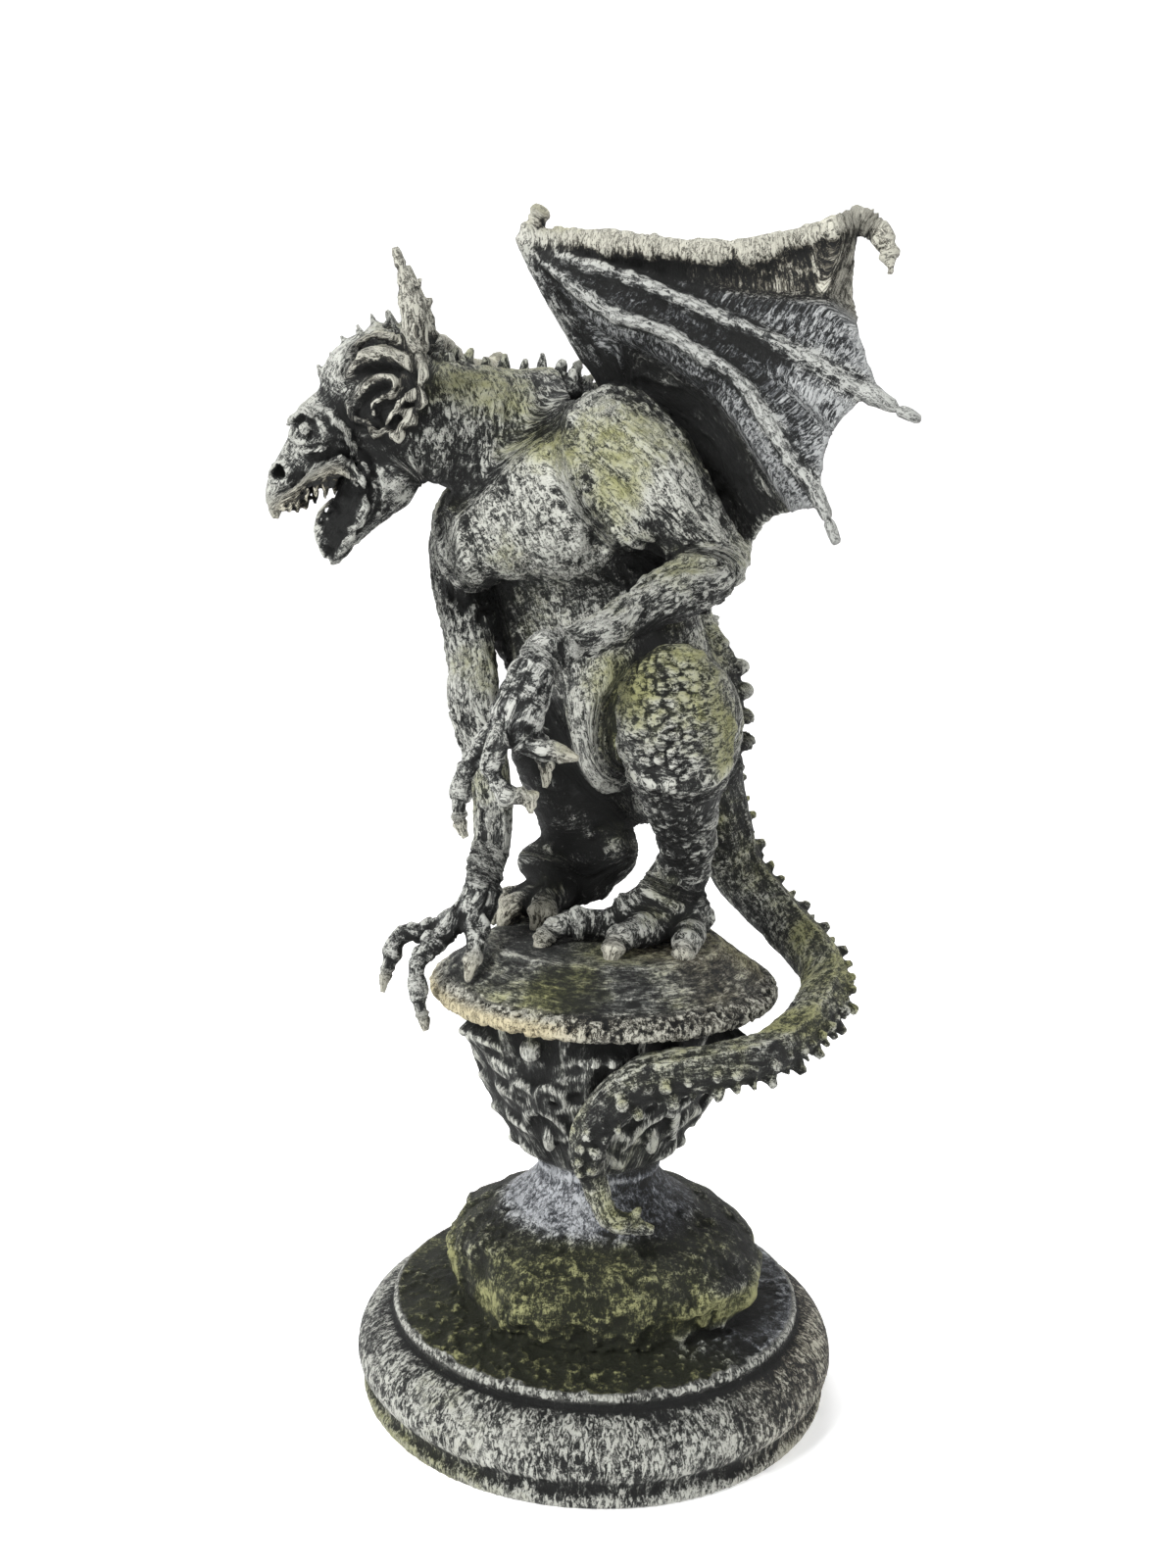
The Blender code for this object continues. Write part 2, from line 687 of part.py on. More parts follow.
def pedestal_outline():
    """The turned outline, as radius and height, from the underside's centre to the crown."""
    outline = [(0, 0), (FOOT_RADIUS * 0.5, 0), (FOOT_RADIUS - 2.4, 0)]
    outline += [(FOOT_RADIUS - 1.5, 1), (FOOT_RADIUS - 1.4, 2.6)]
    outline.append((FOOT_RADIUS - 1.4 - GROOVE_DEPTH, GROOVE_HEIGHT))
    belly = GROOVE_HEIGHT + 6.5
    for turn in range(-40, 81, 10):
        reach = math.cos(math.radians(turn))
        rise = math.sin(math.radians(turn))
        height = FOOT_HEIGHT - belly if turn > 0 else 6.5
        outline.append((FOOT_RADIUS - FOOT_ROUNDING * (1 - reach), belly + height * rise))
    outline += [(RIM_RADIUS, FOOT_HEIGHT), (RIM_RADIUS, RIM_TOP - 0.8), (RIM_RADIUS - 0.8, RIM_TOP)]
    deck_width = RIM_RADIUS - 0.8 - ROCK_RADIUS
    for step in range(1, 6):
        outline.append((ROCK_RADIUS + deck_width * (1 - step / 5), RIM_TOP + 0.2 * step))
    sides = ((1.0, 0.1), (1.03, 0.25), (1.04, 0.42), (1.03, 0.58))
    sides += ((1.0, 0.72), (0.93, 0.86), (0.82, 0.97))
    outline += [(ROCK_RADIUS * wide, RIM_TOP + ROCK_HEIGHT * tall) for wide, tall in sides]
    for step in range(0, 8):
        share = step / 7
        wide = NECK_RADIUS + (FLARE_RADIUS - NECK_RADIUS) * (1 - share) ** 1.5
        outline.append((wide, ROCK_TOP + FLARE_HEIGHT * share))
    outline.append((NECK_RADIUS + 0.8, (FLARE_TOP + NECK_TOP) / 2))
    for step in range(0, 19):
        height = NECK_TOP + BOWL_HEIGHT * step / 18
        outline.append((bowl_radius(height), height))
    edge_top = BOWL_TOP + SLAB_EDGE
    outline += [(SLAB_RADIUS - 1.2, BOWL_TOP + 0.3), (SLAB_RADIUS, BOWL_TOP + 1.4)]
    outline += [(SLAB_RADIUS, edge_top - 1), (SLAB_RADIUS - 1, edge_top)]
    for step in range(1, 7):
        share = step / 6
        wide = SLAB_RADIUS - 1 + (SLAB_CROWN_RADIUS + 1 - SLAB_RADIUS) * share
        outline.append((wide, edge_top + (SLAB_RISE - 0.8) * share))
    for step in range(1, 7):
        share = 1 - step / 6
        outline.append((SLAB_CROWN_RADIUS * share, SLAB_TOP - 0.8 * share))
    return outline


def leaf_relief(angle, height):
    """How far the urn's standing leaves, with curled tips, and the flutes above stand out."""
    share = (height - NECK_TOP) / BOWL_HEIGHT
    if not 0 < share < 1:
        return 0.0
    swing = (angle * LEAF_COUNT / math.tau) % 1.0 - 0.5
    width = 0.2 + 0.3 * math.sin(math.pi * min(1.0, share * 1.15)) ** 0.7
    edge = abs(swing) / width
    flutes = FLUTE_DEPTH * math.cos(angle * FLUTE_COUNT) * min(1.0, max(0.0, share - 0.72) * 8)
    if edge > 1:
        return flutes
    lobes = 0.72 + 0.28 * math.cos(share * 34 + edge * 3)
    body = (1 - edge**3) * lobes * (1 - 0.45 * math.exp(-(edge * 5) ** 2))
    curl = 1.3 * math.exp(-(((share - 0.86) * 14) ** 2)) * (1 - edge)
    fade = min(1.0, share * 9) * min(1.0, max(0.0, 0.97 - share) * 9)
    return LEAF_DEPTH * (body * fade + curl)


def model_pedestal():
    bm = bmesh.new()
    verts = [bm.verts.new((radius, 0, height)) for radius, height in pedestal_outline()]
    edges = [bm.edges.new(pair) for pair in zip(verts, verts[1:])]
    long_edges = [edge for edge in edges if edge.calc_length() > 3]
    bmesh.ops.subdivide_edges(bm, edges=long_edges, cuts=1)
    profile = bm.verts[:] + bm.edges[:]
    bmesh.ops.spin(bm, geom=profile, axis=(0, 0, 1), steps=144, angle=math.tau, use_merge=True)
    bmesh.ops.remove_doubles(bm, verts=bm.verts, dist=0.01)
    for vert in bm.verts:
        radius = math.hypot(vert.co.x, vert.co.y)
        if radius < 0.01 or vert.co.z < 0.01:
            continue
        angle = math.atan2(vert.co.y, vert.co.x)
        height = vert.co.z
        swell = leaf_relief(angle, height)
        if NECK_TOP < height < BOWL_TOP:
            rise = (height - NECK_TOP) / BOWL_HEIGHT
            swell += BOWL_LEAN * math.sin(math.pi * rise) * math.cos(angle)
        if RIM_TOP + 0.5 < height < ROCK_TOP:
            rock = math.sin(math.pi * (height - RIM_TOP) / ROCK_HEIGHT) ** 0.5
            spot = Vector((math.cos(angle) * 2.2, math.sin(angle) * 2.2, height * 0.09))
            swell += ROCK_LUMPS * rock * noise.noise(spot)
            swell += ROCK_LUMPS * 0.45 * rock * noise.noise(spot * 3.1)
            swell += ROCK_LEAN * rock * math.cos(angle)
        if height > BOWL_TOP + 0.2 and radius > SLAB_CROWN_RADIUS:
            swell += CHIP_DEPTH * noise.noise(vert.co * 0.16) * 1.4
        vert.co.x += swell * math.cos(angle)
        vert.co.y += swell * math.sin(angle)
    bmesh.ops.recalc_face_normals(bm, faces=bm.faces)
    mesh = bpy.data.meshes.new("pedestal")
    bm.to_mesh(mesh)
    bm.free()
    body = bpy.data.objects.new("pedestal", mesh)
    bpy.context.collection.objects.link(body)
    thin_out(body, PEDESTAL_TRIANGLES)
    for vert in body.data.vertices:
        if vert.co.z < 0.05:
            vert.co.z = 0
    return body


def keep_clear(body, neighbour, gap):
    """Cut a body back to a gap from its neighbour, and keep its one main solid."""
    grown = neighbour.copy()
    grown.data = neighbour.data.copy()
    bpy.context.collection.objects.link(grown)
    swell = grown.modifiers.new("grow", "DISPLACE")
    swell.strength = gap
    swell.mid_level = 0
    apply_modifiers(grown)
    cut = body.modifiers.new("keep clear", "BOOLEAN")
    cut.operation = "DIFFERENCE"
    cut.solver = "EXACT"
    cut.object = grown
    apply_modifiers(body)
    bpy.data.objects.remove(grown, do_unlink=True)
    bm = bmesh.new()
    bm.from_mesh(body.data)
    bmesh.ops.remove_doubles(bm, verts=bm.verts, dist=0.02)
    bmesh.ops.dissolve_degenerate(bm, edges=bm.edges, dist=0.02)
    bmesh.ops.triangulate(bm, faces=bm.faces)
    waiting = set(bm.verts)
    largest = set()
    while waiting:
        shell = {waiting.pop()}
        front = set(shell)
        while front:
            front = {edge.other_vert(vert) for vert in front for edge in vert.link_edges} - shell
            shell |= front
        waiting -= shell
        largest = max(largest, shell, key=len)
    loose = [vert for vert in bm.verts if vert not in largest]
    bmesh.ops.delete(bm, geom=loose, context="VERTS")
    bm.to_mesh(body.data)
    bm.free()


def finish(body, colour):
    """Bring a body to metres, shade it and give it its own material."""
    body.data.transform(Matrix.Scale(MM, 4))
    body.data.shade_smooth()
    body.data.set_sharp_from_angle(angle=math.radians(50))
    material = bpy.data.materials.new(body.name)
    material.use_nodes = True
    shader = material.node_tree.nodes["Principled BSDF"]
    shader.inputs["Base Color"].default_value = (*colour, 1)
    shader.inputs["Roughness"].default_value = 0.75
    shader.inputs["Metallic"].default_value = 0.0
    body.data.materials.clear()
    body.data.materials.append(material)


for old in list(bpy.data.objects):
    bpy.data.objects.remove(old, do_unlink=True)
pedestal = model_pedestal()
gargoyle = model_gargoyle()
thin_out(gargoyle, FIGURE_TRIANGLES)
keep_clear(gargoyle, pedestal, CONTACT_GAP)
finish(pedestal, (0.12, 0.13, 0.09))
finish(gargoyle, (0.2, 0.21, 0.19))
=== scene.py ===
"""A crouching winged gargoyle on its leafy urn pedestal, on a pale floor in soft studio light."""

import math

import bmesh
import bpy
import numpy as np
from mathutils import Matrix, Vector
from mathutils.bvhtree import BVHTree


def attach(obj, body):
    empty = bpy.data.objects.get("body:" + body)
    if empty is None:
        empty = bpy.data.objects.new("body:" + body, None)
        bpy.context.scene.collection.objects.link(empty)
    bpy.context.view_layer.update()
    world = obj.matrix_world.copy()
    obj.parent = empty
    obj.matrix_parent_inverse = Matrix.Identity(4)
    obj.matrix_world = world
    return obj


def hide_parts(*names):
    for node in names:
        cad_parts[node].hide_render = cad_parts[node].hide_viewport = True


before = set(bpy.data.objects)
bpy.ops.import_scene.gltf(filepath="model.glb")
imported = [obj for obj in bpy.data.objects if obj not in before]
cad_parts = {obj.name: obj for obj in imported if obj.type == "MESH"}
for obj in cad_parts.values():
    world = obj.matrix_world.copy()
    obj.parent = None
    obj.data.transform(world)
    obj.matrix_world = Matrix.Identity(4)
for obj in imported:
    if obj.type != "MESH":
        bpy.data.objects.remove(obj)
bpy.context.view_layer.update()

# The pedestal is one casting in stone-filled resin: a round foot with a rim, a lump of rock, a leafy
# urn and a chipped slab. It is turned, carved with leaves and scrolls, painted nearly black, brushed
# pale on what stands out, and stained with green and ochre. Painted shade darkens its hollows and
# the right side of its foot.
MM = 0.001
FOOT_RADIUS = 60.0
FOOT_HEIGHT = 19.5
FOOT_ROUNDING = 10.5
GROOVE_HEIGHT = 3.6
GROOVE_DEPTH = 1.2
RIM_RADIUS = 51.2
RIM_HEIGHT = 3.6
ROCK_RADIUS = 36.5
ROCK_HEIGHT = 21.0
ROCK_LUMPS = 4.2
ROCK_LEAN = 2.4
FLARE_RADIUS = 27.3
FLARE_HEIGHT = 12.0
NECK_RADIUS = 15.0
NECK_HEIGHT = 2.5
BOWL_RADIUS = 33.8
BOWL_HEIGHT = 42.4
BOWL_LEAN = -1.3
LEAF_COUNT = 6
LEAF_DEPTH = 3.4
FLUTE_COUNT = 24
FLUTE_DEPTH = 1.5
SLAB_RADIUS = 42.8
SLAB_EDGE = 4.0
SLAB_RISE = 10.5
SLAB_CROWN_RADIUS = 28.5
DARK_PATCH = (-8, -33)
RIM_TOP = FOOT_HEIGHT + RIM_HEIGHT
ROCK_TOP = RIM_TOP + ROCK_HEIGHT
FLARE_TOP = ROCK_TOP + FLARE_HEIGHT
NECK_TOP = FLARE_TOP + NECK_HEIGHT
BOWL_TOP = NECK_TOP + BOWL_HEIGHT
SLAB_TOP = BOWL_TOP + SLAB_EDGE + SLAB_RISE
PEDESTAL_VOXEL = 0.6
TRIANGLES = 196000


def unit(vector):
    return Vector(vector).normalized()


def ease(value, low, high):
    """0 below low, 1 above high, and a soft step between."""
    share = np.clip((value - low) / (high - low), 0, 1)
    return share * share * (3 - 2 * share)


def grit(points, seed=0):
    """Smooth noise from -1 to 1 at rows of x, y, z, about one lump a unit."""
    cell = np.floor(points).astype(np.int64)
    part = points - cell
    part = part * part * (3 - 2 * part)
    total = np.zeros(len(points))
    for corner in ((x, y, z) for x in (0, 1) for y in (0, 1) for z in (0, 1)):
        spot = cell + corner
        mixed = (spot[:, 0] * 73856093) ^ (spot[:, 1] * 19349663) ^ (spot[:, 2] * 83492791)
        mixed = (mixed + seed * 2654435) * 1103515245 & 0x7FFFFFFF
        mixed = (mixed ^ (mixed >> 15)) * 668265263 & 0x7FFFFFFF
        height = (mixed >> 8) % 4096 / 2047.5 - 1
        total += height * np.prod(np.where(corner, part, 1 - part), axis=1)
    return total


def crumble(points, seed=0):
    """Noise with two finer layers."""
    fine = grit(points * 2.1, seed + 1) / 2 + grit(points * 4.3, seed + 2) / 4
    return (grit(points, seed) + fine) / 1.4


def smooth_path(stations, spacing):
    """A Catmull-Rom curve through rows of numbers that begin with a point, a row each spacing."""
    rows = [np.asarray(row, float) for row in stations]
    rows = [2 * rows[0] - rows[1], *rows, 2 * rows[-1] - rows[-2]]
    found = []
    for a, b, c, d in zip(rows, rows[1:], rows[2:], rows[3:]):
        steps = max(2, int(np.linalg.norm(c[:3] - b[:3]) / spacing))
        for t in np.arange(steps) / steps:
            curve = 2 * b + (c - a) * t + (2 * a - 5 * b + 4 * c - d) * t**2
            found.append((curve + (3 * b - a - 3 * c + d) * t**3) / 2)
    return np.array([*found, rows[-2]])


def as_object(name, bm):
    """A new object in the scene from a bmesh, which is used up."""
    mesh = bpy.data.meshes.new(name)
    bm.to_mesh(mesh)
    bm.free()
    body = bpy.data.objects.new(name, mesh)
    bpy.context.collection.objects.link(body)
    return body


def frame_at(centre, x, y, z):
    turned = Matrix((x, y, z)).transposed().to_4x4()
    turned.translation = centre
    return turned


class Clay:
    """Closed shapes gathered in one mesh, to be fused into a single skin."""

    def __init__(self):
        self.bm = bmesh.new()
        self.marks = []

    def take(self, piece):
        mesh = bpy.data.meshes.new("piece")
        bmesh.ops.recalc_face_normals(piece, faces=piece.faces)
        piece.to_mesh(mesh)
        piece.free()
        self.bm.from_mesh(mesh)
        bpy.data.meshes.remove(mesh)

    def mark(self, stations, coat, spacing=2.5):
        """Note a limb's middle line, and how the skin round it lies and is painted."""
        path = smooth_path([(*row[:3], (row[3] + row[-1]) / 2) for row in stations], spacing)
        ways = np.gradient(path[:, :3], axis=0)
        ways /= np.linalg.norm(ways, axis=1)[:, None]
        run = np.cumsum([0, *np.linalg.norm(np.diff(path[:, :3], axis=0), axis=1)])
        for row, way, length in zip(path, ways, run):
            side = unit(Vector((0.31, 0.77, 0.55)).cross(Vector(way)))
            up = Vector(way).cross(side)
            turned = np.array([side, up, way])
            origin = np.array([0, 0, length]) - turned @ row[:3]
            self.marks.append((*row[:3], row[3], *turned.ravel(), *origin, *coat))

    def limb(self, stations, wide=(1, 0, 0), sides=12, spacing=2.5, coat=None):
        """A round-ended tube through rows of x, y, z, radius and, if oval, its other radius."""
        if coat:
            self.mark(stations, coat)
        path = smooth_path([(*row[:4], row[-1]) for row in stations], spacing)
        ways = [unit(way) for way in np.gradient(path[:, :3], axis=0)]
        rings = []
        for row, way in zip(path, ways):
            rings.append((Vector(row[:3]), way, max(row[3], 0.3), max(row[4], 0.3)))
        for place, sign in ((0, -1), (len(rings), 1)):
            centre, way, along, across = rings[place - (sign > 0)]
            cap = []
            for turn in (35, 62, 85):
                reach = min(along, across) * math.sin(math.radians(turn)) * sign
                shrink = math.cos(math.radians(turn))
                cap.append((centre + way * reach, way, along * shrink, across * shrink))
            rings[place:place] = cap if sign > 0 else cap[::-1]
        piece = bmesh.new()
        loop = bmesh.ops.create_circle(piece, cap_ends=True, segments=sides, radius=1)["verts"]
        around = piece.edges[:]
        last = Matrix.Identity(4)
        for number, (centre, way, along, across) in enumerate(rings):
            side = (Vector(wide) - way * way.dot(Vector(wide))).normalized()
            here = frame_at(centre, side * along, way.cross(side) * across, way)
            if number:
                grown = bmesh.ops.extrude_edge_only(piece, edges=around)["geom"]
                loop = [item for item in grown if isinstance(item, bmesh.types.BMVert)]
                edges = [item for item in grown if isinstance(item, bmesh.types.BMEdge)]
                around = [edge for edge in edges if set(edge.verts) <= set(loop)]
            bmesh.ops.transform(piece, matrix=here @ last.inverted(), verts=loop)
            last = here
        bmesh.ops.holes_fill(piece, edges=[edge for edge in piece.edges if edge.is_boundary])
        self.take(piece)

    def ball(self, centre, radii, along=(1, 0, 0), up=(0, 0, 1)):
        """An ellipsoid whose first radius lies along one way and whose third lies nearest up."""
        x = unit(along)
        y = unit(Vector(up).cross(x))
        z = x.cross(y)
        turned = frame_at(Vector(centre), x * radii[0], y * radii[1], z * radii[2])
        piece = bmesh.new()
        bmesh.ops.create_icosphere(piece, subdivisions=3, radius=1, matrix=turned)
        self.take(piece)

    def spike(self, foot, tip, radius, point=0.3):
        """A short cone with a blunt tip."""
        rows = [(*foot, radius), (*tip, radius * point)]
        self.limb(rows, wide=(0.3, 1, 0.2), sides=8, spacing=1.5)

    def sheet(self, place, across, along, thickness):
        """A thin wall on both sides of place(u, v), for u and v from 0 to 1."""
        piece = bmesh.new()
        bmesh.ops.create_grid(piece, x_segments=across, y_segments=along, size=0.5)
        for vert in piece.verts:
            vert.co = place(vert.co.x + 0.5, vert.co.y + 0.5)
        piece.normal_update()
        for vert in piece.verts:
            vert.co += vert.normal * thickness / 2
        bmesh.ops.solidify(piece, geom=piece.faces[:], thickness=thickness)
        self.take(piece)

    def add(self, body):
        """Take in a fused mesh, whose object is used up."""
        self.bm.from_mesh(body.data)
        bpy.data.meshes.remove(body.data)

    def fused(self, name, voxel, smoothing):
        """One closed skin round all the shapes, as a new object."""
        body = as_object(name, self.bm)
        remesh = body.modifiers.new("fuse", "REMESH")
        remesh.mode = "VOXEL"
        remesh.voxel_size = voxel
        soften = body.modifiers.new("soften", "SMOOTH")
        soften.factor = 0.5
        soften.iterations = smoothing
        apply_modifiers(body)
        return body


def apply_modifiers(body):
    graph = bpy.context.evaluated_depsgraph_get()
    graph.update()
    mesh = bpy.data.meshes.new_from_object(body.evaluated_get(graph))
    mesh.name = body.name
    old = body.data
    body.modifiers.clear()
    body.data = mesh
    bpy.data.meshes.remove(old)


def thin_out(body, triangles):
    """Bring a mesh down to a number of triangles, flat parts first."""
    body.data.calc_loop_triangles()
    thin = body.modifiers.new("thin out", "DECIMATE")
    thin.ratio = min(1.0, triangles / len(body.data.loop_triangles))
    thin.use_collapse_triangulate = True
    apply_modifiers(body)


def skin_of(body):
    """A mesh's points and outward normals, as rows."""
    mesh = body.data
    points = np.empty(len(mesh.vertices) * 3, np.float32)
    normals = np.empty(len(mesh.vertices) * 3, np.float32)
    mesh.vertices.foreach_get("co", points)
    mesh.vertex_normals.foreach_get("vector", normals)
    return points.reshape(-1, 3).astype(float), normals.reshape(-1, 3).astype(float)


def reshape(body, points):
    body.data.vertices.foreach_set("co", points.astype(np.float32).ravel())
    body.data.update()


def relaxed(values, ends, turns):
    """Rows of numbers at the vertices, averaged with those of their neighbours a few times."""
    count = len(values)
    degree = np.maximum(np.bincount(ends.ravel(), minlength=count), 1)
    for _ in range(turns):
        columns = []
        for column in values.T:
            total = np.bincount(ends[:, 0], column[ends[:, 1]], count)
            total += np.bincount(ends[:, 1], column[ends[:, 0]], count)
            columns.append((column + total / degree) / 2)
        values = np.stack(columns, axis=1)
    return values


def edges_of(body):
    ends = np.empty(len(body.data.edges) * 2, np.int32)
    body.data.edges.foreach_get("vertices", ends)
    return ends.reshape(-1, 2)


def relief_of(body):
    """How far each vertex stands out of the skin round it, from about -1 to 1, near and wide."""
    points, normals = skin_of(body)
    ends = edges_of(body)
    found = []
    plain = points
    for turns in (4, 24):
        plain = relaxed(plain, ends, turns)
        rise = np.sum((points - plain) * normals, axis=1)
        found.append(np.clip(rise / (2.2 * rise.std()), -1, 1))
    near = relaxed(found[0][:, None], ends, 1)[:, 0]
    return near, found[1]


def openness(body, reach=15, looks=12):
    """The share of its surroundings that each vertex sees free, for painted shade in hollows and for where
    the dry brush reaches.
    """
    points, normals = skin_of(body)
    mesh = body.data
    mesh.calc_loop_triangles()
    corners = np.empty(len(mesh.loop_triangles) * 3, np.int32)
    mesh.loop_triangles.foreach_get("vertices", corners)
    tree = BVHTree.FromPolygons(points.tolist(), corners.reshape(-1, 3).tolist())
    rounds = np.random.default_rng(7)
    seen = np.zeros(len(points))
    asked = np.zeros(len(points))
    for number in range(0, len(points), 4):
        away = rounds.normal(size=(looks, 3))
        away /= np.linalg.norm(away, axis=1)[:, None]
        away = away * 0.97 + normals[number]
        start = Vector(points[number] + normals[number] * 0.3)
        free = sum(tree.ray_cast(start, Vector(way), reach)[0] is None for way in away)
        seen[number] = free / looks
        asked[number] = 1
    rows = relaxed(np.stack([seen, asked], axis=1), edges_of(body), 8)
    return rows[:, 0] / np.maximum(rows[:, 1], 1e-4)


def coat_with(body, **layers):
    """Keep named numbers or vectors for every vertex, for the paint to read."""
    for name, values in layers.items():
        kind, part = ("FLOAT_VECTOR", "vector") if values.ndim > 1 else ("FLOAT", "value")
        layer = body.data.attributes.new(name, kind, "POINT")
        layer.data.foreach_set(part, values.astype(np.float32).ravel())


def round_axis(points):
    """The points' distances from the upright axis, angles round it from +X, and heights."""
    return np.hypot(points[:, 0], points[:, 1]), np.arctan2(points[:, 1], points[:, 0]), points[:, 2]


def span(value, low, full, falling, gone):
    """1 from full to falling, fading to 0 at low and at gone."""
    return ease(value, low, full) * (1 - ease(value, falling, gone))


def bowl_radius(height):
    """The plain urn's radius at a height above the table."""
    share = np.clip((height - NECK_TOP) / BOWL_HEIGHT, 0, 1)
    return NECK_RADIUS + (BOWL_RADIUS - NECK_RADIUS) * share**0.7


def pedestal_outline():
    """The turned outline, as radius and height, from the underside's centre to the crown."""
    outline = [(0, 0), (FOOT_RADIUS * 0.5, 0), (FOOT_RADIUS - 2.4, 0)]
    outline += [(FOOT_RADIUS - 1.5, 1), (FOOT_RADIUS - 1.4, 2.6)]
    outline.append((FOOT_RADIUS - 1.4 - GROOVE_DEPTH, GROOVE_HEIGHT))
    belly = GROOVE_HEIGHT + 6.5
    for turn in range(-40, 81, 10):
        reach = math.cos(math.radians(turn))
        rise = math.sin(math.radians(turn))
        height = FOOT_HEIGHT - belly if turn > 0 else 6.5
        outline.append((FOOT_RADIUS - FOOT_ROUNDING * (1 - reach), belly + height * rise))
    outline += [(RIM_RADIUS, FOOT_HEIGHT), (RIM_RADIUS, RIM_TOP - 0.8), (RIM_RADIUS - 0.8, RIM_TOP)]
    deck_width = RIM_RADIUS - 0.8 - ROCK_RADIUS
    for step in range(1, 6):
        outline.append((ROCK_RADIUS + deck_width * (1 - step / 5), RIM_TOP + 0.2 * step))
    sides = ((1.0, 0.1), (1.03, 0.25), (1.04, 0.42), (1.03, 0.58))
    sides += ((1.0, 0.72), (0.93, 0.86), (0.82, 0.97))
    outline += [(ROCK_RADIUS * wide, RIM_TOP + ROCK_HEIGHT * tall) for wide, tall in sides]
    for step in range(0, 8):
        share = step / 7
        wide = NECK_RADIUS + (FLARE_RADIUS - NECK_RADIUS) * (1 - share) ** 1.5
        outline.append((wide, ROCK_TOP + FLARE_HEIGHT * share))
    outline.append((NECK_RADIUS + 0.8, (FLARE_TOP + NECK_TOP) / 2))
    for step in range(0, 19):
        height = NECK_TOP + BOWL_HEIGHT * step / 18
        outline.append((float(bowl_radius(height)), height))
    edge_top = BOWL_TOP + SLAB_EDGE
    outline += [(SLAB_RADIUS - 1.2, BOWL_TOP + 0.3), (SLAB_RADIUS, BOWL_TOP + 1.4)]
    outline += [(SLAB_RADIUS, edge_top - 1), (SLAB_RADIUS - 1, edge_top)]
    for step in range(1, 7):
        share = step / 6
        wide = SLAB_RADIUS - 1 + (SLAB_CROWN_RADIUS + 1 - SLAB_RADIUS) * share
        outline.append((wide, edge_top + (SLAB_RISE - 0.8) * share))
    for step in range(1, 7):
        share = 1 - step / 6
        outline.append((SLAB_CROWN_RADIUS * share, SLAB_TOP - 0.8 * share))
    return outline


def leaf_relief(angle, height):
    """How far the urn's standing leaves, with lobes and veins, and the flutes above stand out."""
    share = (height - NECK_TOP) / BOWL_HEIGHT
    swing = (angle * LEAF_COUNT / math.tau) % 1.0 - 0.5
    width = 0.2 + 0.3 * np.sin(math.pi * np.clip(share * 1.15, 0, 1)) ** 0.7
    edge = np.abs(swing) / width
    flutes = FLUTE_DEPTH * np.cos(angle * FLUTE_COUNT) * np.clip((share - 0.72) * 8, 0, 1)
    lobes = 0.72 + 0.28 * np.cos(share * 34 + edge * 3)
    veins = 0.16 * np.cos(share * 62 + edge * 9) * ease(edge, 0.1, 0.4)
    body = (1 - edge**3) * (lobes + veins) * (1 - 0.6 * np.exp(-((edge * 6) ** 2)))
    curl = 1.3 * np.exp(-(((share - 0.86) * 14) ** 2)) * (1 - edge)
    fade = np.clip(share * 9, 0, 1) * np.clip((0.97 - share) * 9, 0, 1)
    leaf = LEAF_DEPTH * (body * fade + curl)
    inside = (share > 0) & (share < 1)
    return np.where(inside, np.where(edge > 1, flutes, leaf), 0)


def on_urn(angle, share, out):
    """A point at an angle and a share of the urn's height, a little out of its plain wall."""
    height = NECK_TOP + share * BOWL_HEIGHT
    radius = float(bowl_radius(height)) + out
    turn = math.radians(angle)
    return (radius * math.cos(turn), radius * math.sin(turn), height)


def scroll(clay, angle, share, size, hand):
    """A volute that curls on the urn's wall, as a fern's tip does."""
    rows = []
    for step in range(19):
        turn = step / 18 * 1.7 * math.tau
        reach = size * (1 - 0.8 * step / 18)
        across = hand * reach * math.sin(turn)
        rise = -reach * math.cos(turn)
        degrees = angle + math.degrees(across / BOWL_RADIUS) * 1.2
        rows.append((*on_urn(degrees, share + rise / BOWL_HEIGHT, 2.4), 1.5 - 0.03 * step))
    stem = (*on_urn(angle - hand * 9, share - 0.3, 1.6), 0.8)
    clay.limb([stem, *rows], wide=(0, 0, 1), sides=8, spacing=1.2)


bm = bmesh.new()
verts = [bm.verts.new((radius, 0, height)) for radius, height in pedestal_outline()]
for pair in zip(verts, verts[1:]):
    bm.edges.new(pair)
for length in (8, 4, 2, 1.4):
    long_edges = [edge for edge in bm.edges if edge.calc_length() > length]
    bmesh.ops.subdivide_edges(bm, edges=long_edges, cuts=1)
profile = bm.verts[:] + bm.edges[:]
bmesh.ops.spin(bm, geom=profile, axis=(0, 0, 1), steps=300, angle=math.tau, use_merge=True)
bmesh.ops.remove_doubles(bm, verts=bm.verts, dist=0.01)
bmesh.ops.recalc_face_normals(bm, faces=bm.faces)
turning = as_object("turning", bm)
points, _ = skin_of(turning)
radius, angle, height = round_axis(points)
swell = leaf_relief(angle, height)
rise = np.clip((height - NECK_TOP) / BOWL_HEIGHT, 0, 1)
swell += BOWL_LEAN * np.sin(math.pi * rise) * np.cos(angle)
rock = np.sin(math.pi * np.clip((height - RIM_TOP) / ROCK_HEIGHT, 0, 1)) ** 0.5
spot = np.stack([np.cos(angle) * 2.2, np.sin(angle) * 2.2, height * 0.09], axis=1)
swell += ROCK_LUMPS * rock * (grit(spot, 5) * 0.8 + 0.45 * grit(spot * 3.1, 6))
swell += ROCK_LEAN * rock * np.cos(angle)
swell[(radius < 0.01) | (height < 0.01)] = 0
points[:, 0] += swell * np.cos(angle)
points[:, 1] += swell * np.sin(angle)
reshape(turning, points)

